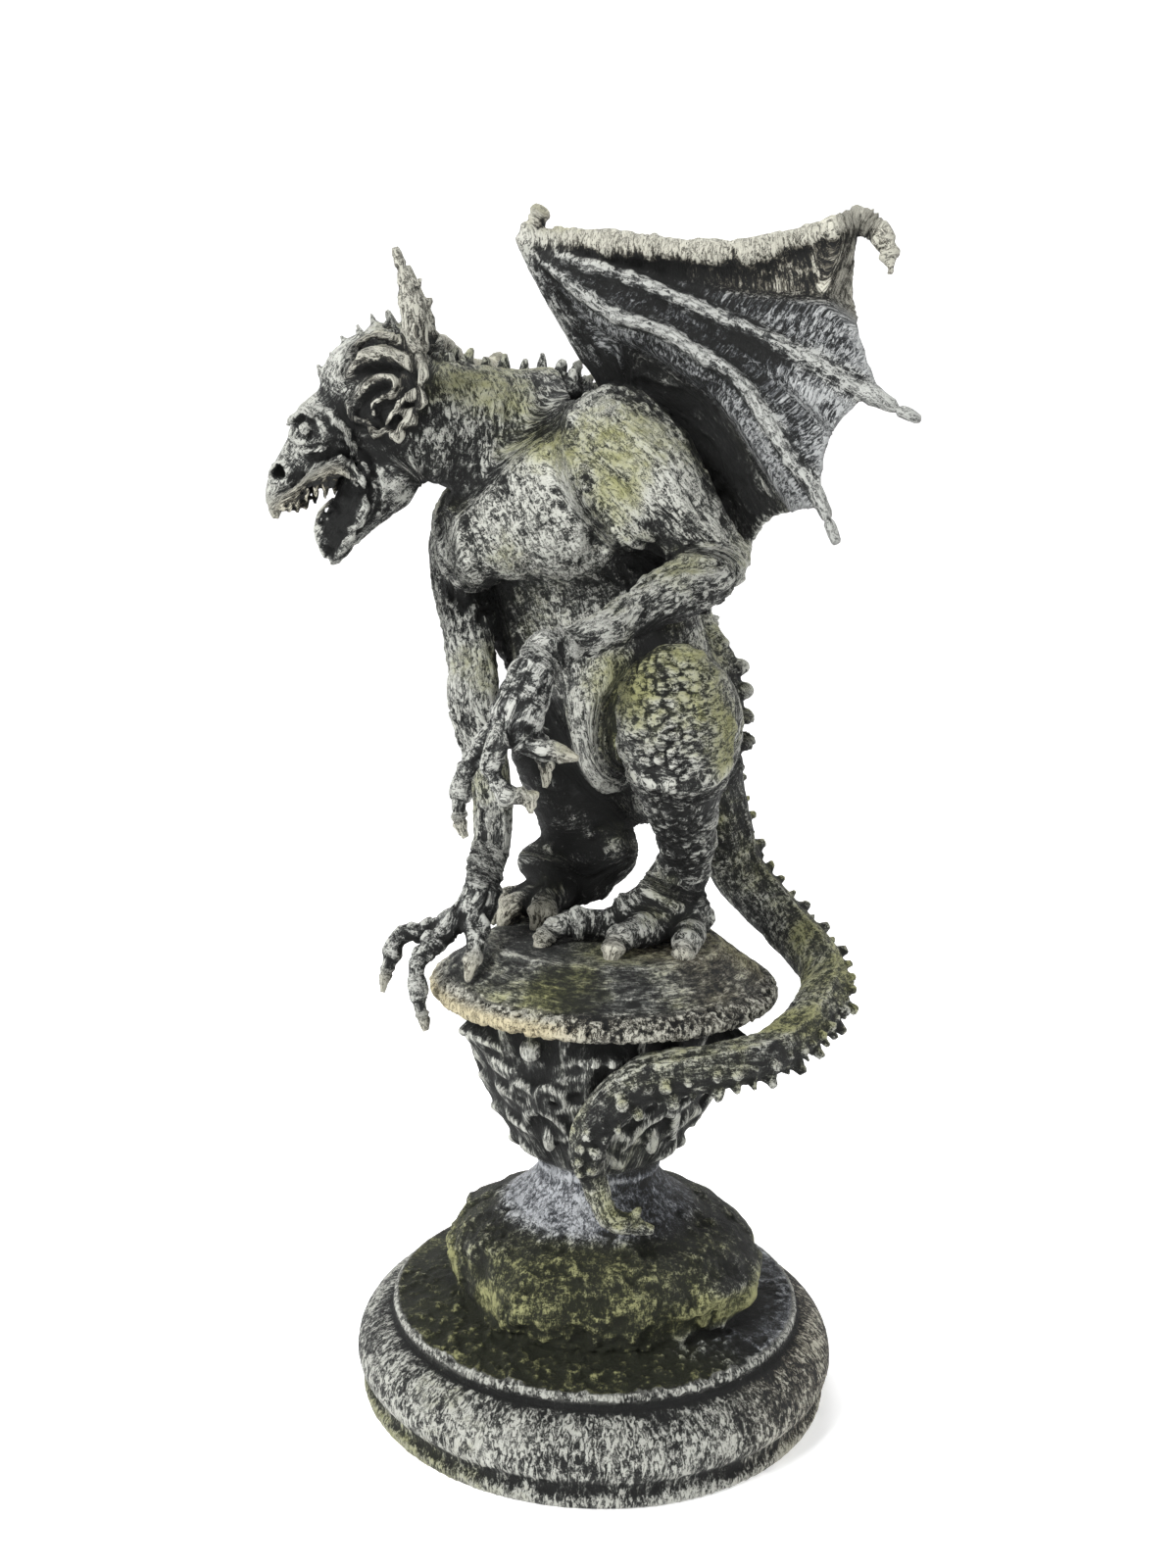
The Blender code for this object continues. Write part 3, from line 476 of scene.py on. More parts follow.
stone = Clay()
stone.add(turning)
for number in range(LEAF_COUNT):
    middle = 30 + number * 360 / LEAF_COUNT
    for lean in (-1, 1):
        tip = [
            (*on_urn(middle + lean * 7, 0.6, 1.4), 1.3),
            (*on_urn(middle + lean * 6, 0.76, 2.6), 1.5),
            (*on_urn(middle + lean * 4, 0.86, 4.4), 1.5),
            (*on_urn(middle + lean * 2, 0.85, 6.2), 1.1),
        ]
        stone.limb(tip, wide=(0, 0, 1), sides=8, spacing=1.2)
    scroll(stone, middle + 22, 0.55, 4.4, 1)
    scroll(stone, middle + 38, 0.56, 4.4, -1)
    stone.ball(on_urn(middle + 30, 0.86, 1.5), (2.6, 2.6, 2.9))
    stone.ball(on_urn(middle + 30, 0.3, 1.0), (1.9, 1.9, 4.2))
pedestal = stone.fused("pedestal", PEDESTAL_VOXEL, 1)
points, normals = skin_of(pedestal)
radius, angle, height = round_axis(points)
front = -np.sin(angle)
inside_rim = (height < RIM_TOP + 3.5) * (radius < RIM_RADIUS - 1)
on_deck = ease(height, RIM_TOP - 0.6, RIM_TOP + 0.2) * inside_rim
on_rock = ease(height, RIM_TOP + 1, RIM_TOP + 4) * (height < ROCK_TOP + 4)
on_edge = ease(height, BOWL_TOP - 1, BOWL_TOP) * ease(radius, SLAB_RADIUS - 5, SLAB_RADIUS - 2)
on_slab = ease(height, BOWL_TOP + 1, BOWL_TOP + 5)
crust = ease(crumble(points / 9, 11) + 0.25 * front, -0.1, 0.45)
mossy = ease(grit(points / 16, 12) + 0.55 * front - 0.25 * np.cos(angle), -0.1, 0.5)
bumps = 0.12 * crumble(points / 1.3, 13)
bumps += on_deck * mossy * (2.2 * np.maximum(crumble(points / 2.8, 14), -0.2) + 0.3)
bumps += on_rock * crust * 1.3 * crumble(points / 2.8, 15)
bumps += on_edge * 0.8 * np.minimum(crumble(points / 1.8, 16) + 0.15, 0.35)
bumps += on_slab * 0.3 * crumble(points * (0.2, 0.2, 0.6), 17)
bumps -= on_edge * 0.8 * ease(grit(points / 1.3, 18), 0.35, 0.7)
bumps[height < 0.6] = 0
reshape(pedestal, points + normals * bumps[:, None])
thin_out(pedestal, TRIANGLES)
points, _ = skin_of(pedestal)
points[points[:, 2] < 0.3, 2] = 0
reshape(pedestal, points)


class Wire:
    """A shader socket whose sums and products add Math nodes, and that adds any other node."""

    def __init__(self, tree, socket=None):
        self.tree = tree
        self.socket = socket

    def add(self, kind, settings, inputs, output=0):
        node = self.tree.nodes.new(kind)
        for name, value in settings.items():
            setattr(node, name, value)
        for name, value in inputs.items():
            if isinstance(value, Wire):
                self.tree.links.new(value.socket, node.inputs[name])
            else:
                node.inputs[name].default_value = value
        return Wire(self.tree, node.outputs[output])

    def sum_up(self, work, first, second):
        return self.add("ShaderNodeMath", {"operation": work}, {0: first, 1: second})

    def __add__(self, other):
        return self.sum_up("ADD", self, other)

    def __sub__(self, other):
        return self.sum_up("SUBTRACT", self, other)

    def __mul__(self, other):
        return self.sum_up("MULTIPLY", self, other)

    def __rsub__(self, other):
        return self.sum_up("SUBTRACT", other, self)

    __radd__ = __add__
    __rmul__ = __mul__

    def size(self):
        return self.sum_up("ABSOLUTE", self, 0.0)

    def step(self, low, high):
        inputs = {"Value": self, "From Min": low, "From Max": high}
        return self.add("ShaderNodeMapRange", {"interpolation_type": "SMOOTHSTEP"}, inputs)

    def stretch(self, x, y, z):
        return self.add("ShaderNodeVectorMath", {"operation": "MULTIPLY"}, {0: self, 1: (x, y, z)})

    def noise(self, scale, detail=4.0, rough=0.6, swirl=0.0):
        inputs = {"Vector": self, "Scale": scale, "Detail": detail}
        inputs |= {"Roughness": rough, "Distortion": swirl}
        return self.add("ShaderNodeTexNoise", {}, inputs)

    def tint(self, base, over):
        """The base colour where this is 0, and the other where it is 1."""
        inputs = {0: self, 6: base, 7: over}
        return self.add("ShaderNodeMix", {"data_type": "RGBA"}, inputs, 2)


# Each paint in the hollows, on the body and on what stands out; the hollow paint also lays painted shade.
STONE_PAINT = ((0.007, 0.0075, 0.007, 1), (0.052, 0.054, 0.05, 1), (0.46, 0.465, 0.42, 1))
MOSS_PAINT = ((0.013, 0.015, 0.006, 1), (0.06, 0.062, 0.026, 1), (0.27, 0.272, 0.125, 1))
BLUE_PAINT = (None, (0.055, 0.06, 0.074, 1), (0.3, 0.315, 0.35, 1))
CREAM_PAINT = (None, (0.16, 0.125, 0.065, 1), (0.52, 0.46, 0.3, 1))
PAINT_RELIEF = 0.5 * MM


def weathered(name):
    """Dark paint left in the hollows and laid as painted shade, brushed pale on what stands out, with
    stains by name.
    """
    material = bpy.data.materials.new(name)
    material.use_nodes = True
    tree = material.node_tree
    shader = tree.nodes["Principled BSDF"]
    start = Wire(tree)

    def layer(title, output="Fac"):
        return start.add("ShaderNodeAttribute", {"attribute_name": title}, {}, output)

    grain = layer("grain", "Vector")
    along = grain.stretch(1.35, 1.35, 0.46).noise(1.0, 5.0, 0.66, 0.9)
    round_it = grain.stretch(0.5, 0.5, 1.5).noise(1.0, 5.0, 0.66, 0.9)
    streak = along + (round_it - along) * layer("ring")
    speck = grain.noise(3.6, 3.0, 0.7, 0.4)
    blotch = grain.noise(0.12, 4.0, 0.62)
    broad = grain.noise(0.5, 3.0, 0.6)
    crease = (streak - 0.47).size().step(0.004, 0.022)
    calm = layer("calm")
    height = (streak - 0.5) * 2.1 + (speck - 0.5) * 0.9 + (crease - 1.0) * 0.6
    height = height * (1.0 - calm * 0.8)
    stand = height + layer("near") * 0.36 + layer("wide") * 0.14 + layer("pale") - 0.53
    stand = stand + (blotch - 0.5) * 0.8 + (broad - 0.5) * 0.7
    moss = (layer("moss") + (blotch - 0.5) * 0.7 + (broad - 0.5) * 0.5).step(0.2, 0.85)
    dark, middle, high = (moss.tint(plain, green) for plain, green in zip(STONE_PAINT, MOSS_PAINT))
    for stain, paint in ((layer("blue"), BLUE_PAINT), (layer("cream"), CREAM_PAINT)):
        middle = stain.tint(middle, paint[1])
        high = stain.tint(high, paint[2])
    colour = stand.step(-0.2, -0.02).tint(dark, middle)
    colour = stand.step(-0.04, 0.3).tint(colour, high)
    tree.links.new(colour.socket, shader.inputs["Base Color"])
    inputs = {"Height": height, "Distance": PAINT_RELIEF, "Strength": 1.0}
    bump = start.add("ShaderNodeBump", {}, inputs, "Normal")
    tree.links.new(bump.socket, shader.inputs["Normal"])
    shader.inputs["Roughness"].default_value = 0.72
    shader.inputs["Specular IOR Level"].default_value = 0.3
    return material


points, normals = skin_of(pedestal)
radius, angle, height = round_axis(points)
front = -np.sin(angle)
right = np.cos(angle)
on_foot = 1 - ease(height, FOOT_HEIGHT - 0.5, FOOT_HEIGHT + 0.5)
on_rim = ease(height, FOOT_HEIGHT, RIM_TOP - 0.8) * ease(radius, RIM_RADIUS - 1.4, RIM_RADIUS - 0.8)
on_deck = np.maximum(span(height, FOOT_HEIGHT, RIM_TOP, RIM_TOP + 2, RIM_TOP + 5) - on_rim, 0)
on_rock = span(height, RIM_TOP + 2, RIM_TOP + 5, ROCK_TOP, ROCK_TOP + 4)
on_flare = span(height, ROCK_TOP, ROCK_TOP + 4, NECK_TOP, NECK_TOP + 3)
on_urn_wall = span(height, NECK_TOP, NECK_TOP + 3, BOWL_TOP - 1, BOWL_TOP)
on_edge = ease(height, BOWL_TOP - 1, BOWL_TOP) * ease(radius, SLAB_RADIUS - 4.5, SLAB_RADIUS - 2)
on_slab = ease(height, BOWL_TOP - 1, BOWL_TOP) * (1 - on_edge)
patch = grit(points / 17, 21)
near, wide = relief_of(pedestal)
free = openness(pedestal)
ledge = on_rock * ease(np.abs(right), 0.25, 0.75) * (1 - ease(height, RIM_TOP + 9, RIM_TOP + 14))
ledge *= ease(grit(points / 8, 22), -0.7, -0.1)
bare_deck = on_deck * ease(right + 0.5 * patch, 0.3, 0.8)
left = ease(-right + 0.4 * patch, -0.1, 0.6)
pale = on_foot * (0.44 + 0.22 * crumble(points / 5, 24)) + 0.46 * on_rim
pale += 0.2 * on_deck + 0.2 * bare_deck + 0.2 * on_rock + 0.5 * ledge
pale += on_flare * (0.4 + 0.35 * left) + 0.34 * on_urn_wall + 0.41 * on_slab + 0.12 * patch
# Painted shade: the right side of the foot is darkened, and hollows that see little around them are
# darkened while open places are lightened.
pale += on_edge * (0.35 + 0.3 * left) - on_foot * 0.14 * ease(right, 0.4, 1) + 0.45 * (free - 0.75)
moss = 0.05 * on_foot + 0.7 * on_deck + 0.6 * on_rock + 0.5 * ledge + 0.2 * on_flare + 0.2 * on_urn_wall
moss += 0.42 * on_slab + 0.1 * on_edge + 0.35 * patch + 0.4 * on_foot * ease(-height, -9, -2) * left
moss += 0.25 * front * on_deck - 0.6 * bare_deck
crusted = left * (1 - ease(height, BOWL_TOP + 3, BOWL_TOP + 5))
cream = on_edge * (0.2 + 0.8 * crusted) + 0.35 * on_foot * ease(right, 0.4, 1)
cream += 0.35 * on_slab * ease(right + 0.5 * front + 0.4 * patch, 0.7, 1.2)
turn = np.arctan2(points[:, 0], -points[:, 1])
from_patch = np.linalg.norm(points[:, :2] - np.array(DARK_PATCH), axis=1) + 4 * grit(points / 5, 25)
dark_patch = on_slab * (1 - ease(from_patch, 4, 12))
strokes = np.stack([turn * 50, radius * 0.15, (height - radius) * 0.95], axis=1)
rounds = np.stack([radius * 1.7, height * 1.7, turn * 30], axis=1)
upright = on_foot + on_rim + on_urn_wall
grain = np.where((upright > 0.5)[:, None], strokes, np.where((on_slab > 0.5)[:, None], rounds, points))
pale -= 0.12 * dark_patch
moss += 0.3 * dark_patch
calm = 0.6 * (on_flare + ledge + bare_deck) + 0.66 * on_slab + 0.5 * on_urn_wall
coat_with(
    pedestal,
    grain=grain,
    ring=0.3 * on_edge + 0.4 * on_rock + 0.5 * on_deck + 0.3 * on_slab,
    calm=calm,
    near=near * (1 + 0.3 * on_urn_wall),
    wide=wide * (1 + 0.5 * on_urn_wall),
    pale=pale,
    moss=moss,
    cream=np.clip(cream, 0, 1),
    blue=0.75 * on_flare + 0.7 * bare_deck,
)
pedestal.data.transform(Matrix.Scale(MM, 4))
pedestal.data.shade_smooth()
pedestal.data.materials.append(weathered("painted pedestal"))
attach(pedestal, "root")
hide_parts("pedestal")

# The gargoyle is a second casting in the same resin, cemented to the slab by its feet and hand. It is
# modelled as a clay figure is, muscle by muscle, then wrinkled, scaled and painted like the pedestal,
# with cream claws, teeth and ear rims and blue-grey wings. Painted shade darkens its hollows, the inside
# of its open mouth, its lap and the front of the far leg.
DRAWN_CROWN = 117.5
MEMBRANE = 2.4
FAR_WING_DROP = 13.5
SPINE_FIN = 5.0
TAIL_RADIUS = 6.2
THORN = 3.0
FLESH_VOXEL = 0.8
DETAIL_VOXEL = 0.56
EYE = (-72.6, 9, 236.4)
NOSTRIL = (-79.4, 5, 226.6)
MOUTH_HOLLOWS = ((-62, 7.6, 221.5, 3.4), (-64, 6.6, 217.5, 3.8), (-65.8, 5, 213, 3.4), (-67, 3, 209.5, 2.4))
MOUTH_CORNER = ((-63.5, 8, 223.6), (-61.3, 8.2, 223.4), (-60, 8.4, 222.6))
THROAT = ((-63.5, 6.5, 220.5), (-65, 5.5, 215), (-66.5, 4, 210.5))
ARMPIT_FOLD = ((-8.5, 226), (-6.5, 221.5), (-5, 217), (-4.2, 212.5), (-5, 208), (-7, 204))
SHIN_FRONT = ((10.5, -35, 173), (12, -32, 165), (14, -28, 157), (16, -20, 148), (17.5, -13, 140))

# How the skin lies and is painted: rings across the limb, relief, paleness, moss, cream, blue.
TRUNK = (0.4, 1.0, 0.52, 0.25, 0.0, 0.0)
BACK = (0.6, 1.0, 0.42, 0.4, 0.0, 0.0)
NECK = (1.0, 0.9, 0.4, 0.3, 0.0, 0.1)
HEAD = (0.4, 0.7, 0.48, 0.0, 0.0, 0.15)
EAR = (0.3, 1.0, 0.4, 0.0, 0.2, 0.1)
SHOULDER = (0.3, 1.1, 0.52, 0.3, 0.0, 0.0)
FOREARM = (0.0, 1.6, 0.42, 0.15, 0.0, 0.1)
HAND = (0.5, 1.5, 0.3, 0.0, 0.0, 0.25)
CLAW = (0.0, 0.15, 0.5, 0.0, 0.4, 0.0)
KNEE = (0.9, 1.0, 0.4, 0.45, 0.0, 0.0)
SHIN = (0.9, 0.9, 0.24, 0.1, 0.0, 0.15)
# The far leg's low paleness is painted shade, as it sits in shadow behind the near leg.
PAINTED_SHADE_LEG = (0.6, 0.8, 0.04, 0.05, 0.0, 0.1)
FINGER_BONE = (0.2, 0.6, 0.44, 0.0, 0.0, 0.45)
TOP_BONE = (0.9, 0.8, 0.5, 0.05, 0.25, 0.1)
TAIL = (0.4, 0.7, 0.22, 0.45, 0.0, 0.0)


def torso(clay):
    """The hunched trunk, from the shoulders down to the haunches, with its breast and belly."""
    trunk = [
        (-20, 18, 239, 14, 9), (-19, 18, 233, 21, 14), (-15, 17, 225, 24.5, 16.5),
        (-9.5, 18, 213, 26, 17.5), (-3, 20, 196, 25.5, 17.5), (5.5, 22, 178, 22, 17),
        (12, 24, 161, 17, 16), (15, 26, 149, 11, 11),
    ]
    backbone = [
        (-6, 32, 243, 6), (4, 33, 227, 8), (12, 32, 210, 9), (18.5, 29, 193, 8), (25, 29, 177, 9.5),
        (24, 30, 160, 10),
    ]
    clay.limb(trunk, wide=(0.86, -0.5, 0), sides=24, spacing=3, coat=TRUNK)
    clay.limb(backbone, sides=16, spacing=3, coat=BACK)
    clay.ball((-10.5, 1, 220), (18.5, 13.5, 17))
    clay.ball((-34.3, 10, 213), (10, 12, 13))
    clay.ball((-24, 4.5, 218), (12, 11, 15))
    clay.ball((-27, 6, 229), (13, 11, 11))
    clay.ball((-6, 30, 226), (13, 9, 17), up=(-0.5, 0, 1))
    clay.ball((-22, 34, 230), (10, 8, 14), up=(-0.3, 0, 1))
    clay.ball((0, 12, 174), (11, 14, 24), up=(-0.3, 0, 1))
    clay.ball((-22, 24, 196), (9, 9, 19), up=(-0.3, 0, 1))
    clay.ball((19, 24, 171), (12.5, 13, 19), up=(-0.3, 0, 1))


def neck_and_head(clay):
    """The thick neck and the lowered head, with a hooked beak and a gaping lower jaw."""
    neck = [
        (-56, 0, 238, 11, 10), (-45, 3, 239.3, 14, 12), (-33, 10, 239.3, 14.5, 14),
        (-20, 18, 237, 18, 17),
    ]
    clay.limb(neck, wide=(0, 0, 1), sides=18, spacing=3, coat=NECK)
    muzzle = (-0.7, 0, -0.7)
    clay.ball((-57.5, 0, 247.5), (14, 10.5, 12), along=muzzle, up=(-0.7, 0, 0.7))
    clay.ball((-67, 0, 237.5), (12, 9.2, 9), along=muzzle, up=(-0.7, 0, 0.7))
    clay.ball((-54, 0, 252.5), (9, 8.5, 9.5))
    clay.mark([(-53, 0, 252, 8), (-62, 0, 243, 10), (-70, 0, 234, 9), (-77, 0, 225, 6)], HEAD)
    beak = [
        (-68, 0, 234.5, 8, 7.5), (-73.5, 0, 230, 6.2, 6.5), (-77, 0, 226, 4.9, 5.4),
        (-80, 0, 221.5, 3.3, 3.6), (-81, 0, 218, 1.7, 1.8), (-80.5, 0, 215.5, 0.8),
    ]
    jaw = [
        (-55, 0, 226, 8.5, 8), (-61.5, 0, 219, 6.2, 6.8), (-66, 0, 213, 4.6, 5.6),
        (-67.5, 0, 209, 3, 4), (-67.5, 0, 207, 1.5),
    ]
    clay.limb(beak)
    clay.limb(jaw, coat=HEAD)
    for side in (-1, 1):
        clay.ball((-71.5, side * 7.2, 236.5), (3.4, 2.2, 2.6), along=muzzle)


def arms(clay):
    """The left arm bent across the knee, and the right arm propped straight on the slab."""
    left = [
        (-1, 4, 237, 13), (7, -2, 229, 12.5), (14, -4, 220, 10.3), (21, -2, 213, 8.3),
        (27, 2, 207, 7.2),
    ]
    forearm = [
        (26, 2, 208.5, 5.8), (22, -4, 206.5, 6.8), (14, -14, 202, 6.4), (2.5, -24, 195.5, 5),
        (-7, -33, 191, 4.4), (-15, -38, 188.5, 4.8),
    ]
    palm = [
        (-15, -38, 189, 4.8), (-17.5, -41, 184, 5.2, 4.4), (-20.5, -44, 177, 6.4, 4.2),
        (-21.5, -45, 173.5, 6, 3.6),
    ]
    clay.limb(left, sides=16, coat=SHOULDER)
    clay.ball((4, -8, 221), (7, 6, 10), up=(-0.5, 0, 1))
    clay.ball((27, 1, 208.5), (4.8, 5, 5.2))
    clay.limb(forearm, wide=(0, 0, 1), sides=14, coat=FOREARM)
    clay.ball((-10, -38, 190), (3.4, 3, 3))
    clay.limb(palm, coat=HAND)
    upper = [(24, -6, 210, 0.8), (14, -16.8, 205.8, 1.3), (3, -27, 199, 1.2), (-8, -35.6, 193.6, 0.8)]
    lower = [(26, -5, 204.5, 0.9), (15, -17.6, 199.6, 1.3), (4, -27.4, 193.6, 1.1), (-6, -35.4, 189, 0.8)]
    tendon = [(20, -9, 208.5, 0.8), (8, -22.4, 202.4, 1.1), (-4, -32.6, 195, 1.0)]
    for rows in (upper, lower, tendon):
        clay.limb(rows, sides=8, spacing=1.5)
    right = [
        (-35, 20, 219, 10), (-38, 23, 211, 9.4), (-38, 22, 200.5, 7.6), (-36.5, 18, 191, 6.6),
        (-34.5, 13, 181.5, 6.2), (-34, 9, 173.5, 6.8), (-30.8, 5, 163, 5.8), (-28.5, 1, 151.5, 4.7),
        (-28, -3, 142.5, 4.4), (-29, -6, 134, 4.9),
    ]
    clay.limb(right, sides=14, coat=FOREARM)
    palm = [(-29.5, -6, 135, 4.6), (-30.5, -8.5, 127.5, 6, 4.6), (-33, -10.5, 122.5, 6.4, 4.4)]
    clay.limb(palm, wide=(0.3, 1, 0), coat=HAND)


def legs(clay):
    """Two folded legs: the left knee raised beside the elbow, the right one tucked behind."""
    thigh = [(21, 28, 160, 13), (18.5, 8, 168, 14.2), (15, -14, 175, 14), (13.5, -24, 176, 13)]
    clay.limb(thigh, sides=20, spacing=3)
    shin = [
        (14, -23.5, 175, 13.6), (15, -20.5, 165, 13.2), (17, -13, 152.5, 8.9), (19, -5, 140.5, 7.0),
        (18.8, -0.5, 129.5, 5.9), (18.2, 1.5, 124, 6.2),
    ]
    clay.limb(shin, sides=20, spacing=3)
    clay.mark([(13, -22, 184, 11), (14, -23, 175, 13.5), (15, -20.5, 165, 13.2)], KNEE)
    clay.mark([(15.5, -18.5, 160, 12), *shin[2:]], SHIN)
    clay.mark([thigh[0], thigh[1], (16.5, -6, 173, 14)], KNEE)
    clay.ball((13.5, -28, 180), (10.5, 8, 11))
    clay.limb([(18.2, 3, 126, 6), (18.8, 8, 119, 5), (20, 11, 115.5, 3)])
    clay.ball((15, -5, 123.5), (9.5, 7, 5.5))
    clay.limb([(17, -2, 133, 6.5), (11, -4.5, 127, 5.6), (3, -6, 122.8, 4.8)])
    thigh = [(8, 32, 153, 14), (-4, 30, 158, 13), (-14, 27, 162, 10.5), (-17.5, 25, 160.5, 9)]
    shin = [(-17, 25, 160, 9), (-12, 27, 150, 9.5), (-8, 29, 138, 9.5), (-8, 29, 127, 8)]
    for rows in (thigh, shin):
        clay.limb(rows, sides=16, spacing=3, coat=PAINTED_SHADE_LEG)
    clay.ball((-1, 30, 132.5), (9.8, 9, 10))
    clay.ball((-14, 24, 130), (9.5, 7, 6))
    clay.limb([(-4, 30, 126, 8), (-11, 25, 123.5, 6.5), (-17, 18, 122, 5.5)], sides=14, coat=PAINTED_SHADE_LEG)


def face(clay):
    """What is set into the head: lips, teeth, eyes, folds, nostrils and the crest of small spikes."""
    for side in (-1, 1):
        upper_lip = [
            (-79.6, side * 2.6, 218.3, 0.7), (-77.6, side * 4.4, 221, 0.8),
            (-73.8, side * 5.9, 223.6, 0.8), (-70.3, side * 6.9, 225.6, 0.8),
            (-65.5, side * 7.8, 226.8, 0.9), (-61.5, side * 8.4, 226.2, 0.9),
            (-58.6, side * 8.6, 224, 0.8),
        ]
        lower_lip = [
            (-58.6, side * 8.6, 224, 0.8), (-58.2, side * 8.2, 219.4, 1.0),
            (-61.4, side * 6.6, 213.6, 1.0), (-65.3, side * 3.8, 208, 1.0),
            (-67.4, side * 1.2, 205.8, 0.9),
        ]
        inner_lip = [
            (-66, side * 6, 221, 0.6), (-69.6, side * 4.8, 217.2, 0.8),
            (-70.2, side * 3.4, 212, 0.9), (-68.4, side * 1.8, 207.2, 0.8),
        ]
        folds = [upper_lip, lower_lip, inner_lip]
        for lift, size in ((1.6, 0.6), (3.2, 0.55)):
            folds.append([(x + lift * 0.5, y * 1.03, z + lift, size) for x, y, z, _ in upper_lip[2:]])
        for x, y, z, long in (
            (-78, 3.6, 221, 3.4), (-76.2, 4.6, 222, 4.4), (-74.2, 5.3, 223.2, 4.8),
            (-72.1, 5.9, 224.4, 4.6), (-69.9, 6.4, 225.2, 4.2), (-67.7, 6.8, 225.8, 3.6),
            (-65.6, 7.1, 226, 3.0),
        ):
            foot = (x + 0.3, side * y, z)
            tip = (x - 0.3, side * y * 0.94, z - long)
            clay.spike(foot, tip, 0.85, 0.6)
            clay.mark([(*foot, 0.6), (*tip, 0.8)], CLAW, 1.0)
        for x, y, z, long in ((-68.8, 4.2, 213.5, 2), (-67.3, 5, 216, 1.8), (-65.6, 5.6, 218.4, 1.6)):
            clay.spike((x, side * y, z), (x - 1.6, side * y * 0.9, z + long), 0.75, 0.6)
        brow = [
            (-76.4, side * 6, 237.6, 0.5), (-74.8, side * 7.3, 239.2, 0.8),
            (-72, side * 8.4, 239.8, 1.0), (-69, side * 8.9, 238.2, 0.9),
            (-67.4, side * 9.2, 235.6, 0.6),
        ]
        over_brow = [(x + 2.2, y * 1.02, z + 1.8, size * 0.8) for x, y, z, size in brow]
        lid = [
            (-75.6, side * 6.4, 234.2, 0.5), (-72, side * 7.9, 233.4, 0.7),
            (-67.6, side * 9, 234.2, 0.5),
        ]
        under_lid = [(x + 0.6, y, z - 2.2, size) for x, y, z, size in lid]
        cheek = [
            (-66, side * 9.4, 240, 0.9), (-62.4, side * 9.9, 236, 1.2),
            (-60.2, side * 9.8, 231, 1.0),
        ]
        clay.ball((-72.6, side * 7.4, 236.4), (1.4, 1.4, 1.4))
        nostril = [
            (-81, side * 3, 225.2, 0.8), (-79.8, side * 4.2, 228.2, 0.9),
            (-77.6, side * 5.2, 228.6, 0.9), (-76.4, side * 5.6, 226, 0.8),
        ]
        for rows in (*folds, brow, over_brow, lid, under_lid, cheek, nostril):
            clay.limb(rows, sides=8, spacing=1.2)
    crest = ((-70, 250), (-67.6, 253.6), (-64.8, 257), (-61.5, 259.8), (-58, 262), (-54.5, 263), (-51, 263))
    for number, (x, z) in enumerate(crest):
        lean = 1.6 if number % 2 else -1.6
        clay.spike((x + 1.8, lean * 0.6, z - 3), (x - 0.4, lean, z + 1.6), 1.7)
        clay.spike((x + 2.4, lean * -2.2, z - 4), (x + 0.6, lean * -3, z - 0.4), 1.5)


def ear(clay, side):
    """A bat's ear laid back along the skull, ribbed inside, with a tall pointed tip."""
    reach = -side
    clay.ball((-53, reach * -9.2, 245.5), (8.6, 2.0, 9.4), along=(1, reach * -0.25, 0))
    rim = [
        (-62.5, -9.4, 242, 0.7), (-60, -9.8, 238.5, 1.0), (-57.2, -10.8, 238, 0.8),
        (-55.6, -11.2, 235, 1.3), (-52.4, -12.2, 236, 0.8), (-50.4, -12.8, 234.4, 1.3),
        (-49, -13.2, 237.4, 0.8), (-46.6, -14, 237.8, 1.4), (-46.2, -14, 241, 0.8),
        (-44.2, -15, 242.4, 1.5), (-45.2, -14.6, 246, 0.9), (-44.2, -14.6, 248, 1.5),
        (-45.6, -13.6, 252, 1.5), (-49.5, -12, 255.6, 1.5), (-55.5, -10.8, 257.2, 1.2),
        (-60.5, -9.6, 255, 0.8),
    ]
    clay.limb([(x, reach * y, z, r) for x, y, z, r in rim], spacing=1.5, coat=EAR)
    tip = [
        (-47, -10, 246, 2.6), (-46.5, -12, 255, 3), (-47.5, -12, 264, 2.7), (-49.5, -11, 270.5, 2),
        (-51.5, -10, 276.5, 1.1),
    ]
    clay.limb([(x, reach * y, z, r) for x, y, z, r in tip], spacing=2, coat=EAR)
    ribs = (
        (
            (-62, -9.8, 248.5, 0.9), (-58, -11.4, 252, 1.9), (-52.5, -12.8, 252.6, 2.1),
            (-46, -13.8, 250, 1.4),
        ),
        (
            (-60, -10.4, 243.6, 0.8), (-55.6, -12, 247.4, 1.4), (-51, -12.8, 247.6, 1.1),
            (-51.6, -12.8, 244.4, 0.9),
        ),
        ((-51.6, -12.8, 244.4, 0.9), (-56, -11.6, 242, 1.0), (-55.6, -11.6, 239.6, 0.8)),
        ((-50.4, -12.8, 241.6, 0.9), (-46, -14.4, 244.4, 1.2)),
        ((-53, -12.2, 237.4, 0.8), (-51.4, -12.8, 240, 1.0), (-47.4, -14, 240, 0.9)),
    )
    for rows in ribs:
        rib = [(x, reach * (y + 0.3), z, thick) for x, y, z, thick in rows]
        clay.limb(rib, sides=8, spacing=1.2, coat=EAR)
    for z in (250, 254.5, 259, 263.5, 268):
        shift = 0.9 if int(z) % 2 else 0
        clay.spike((-46.6, reach * -11.5, z), (-42.8 - (z - 250) * 0.14, reach * -12 - shift, z + 1.6), 1.3)


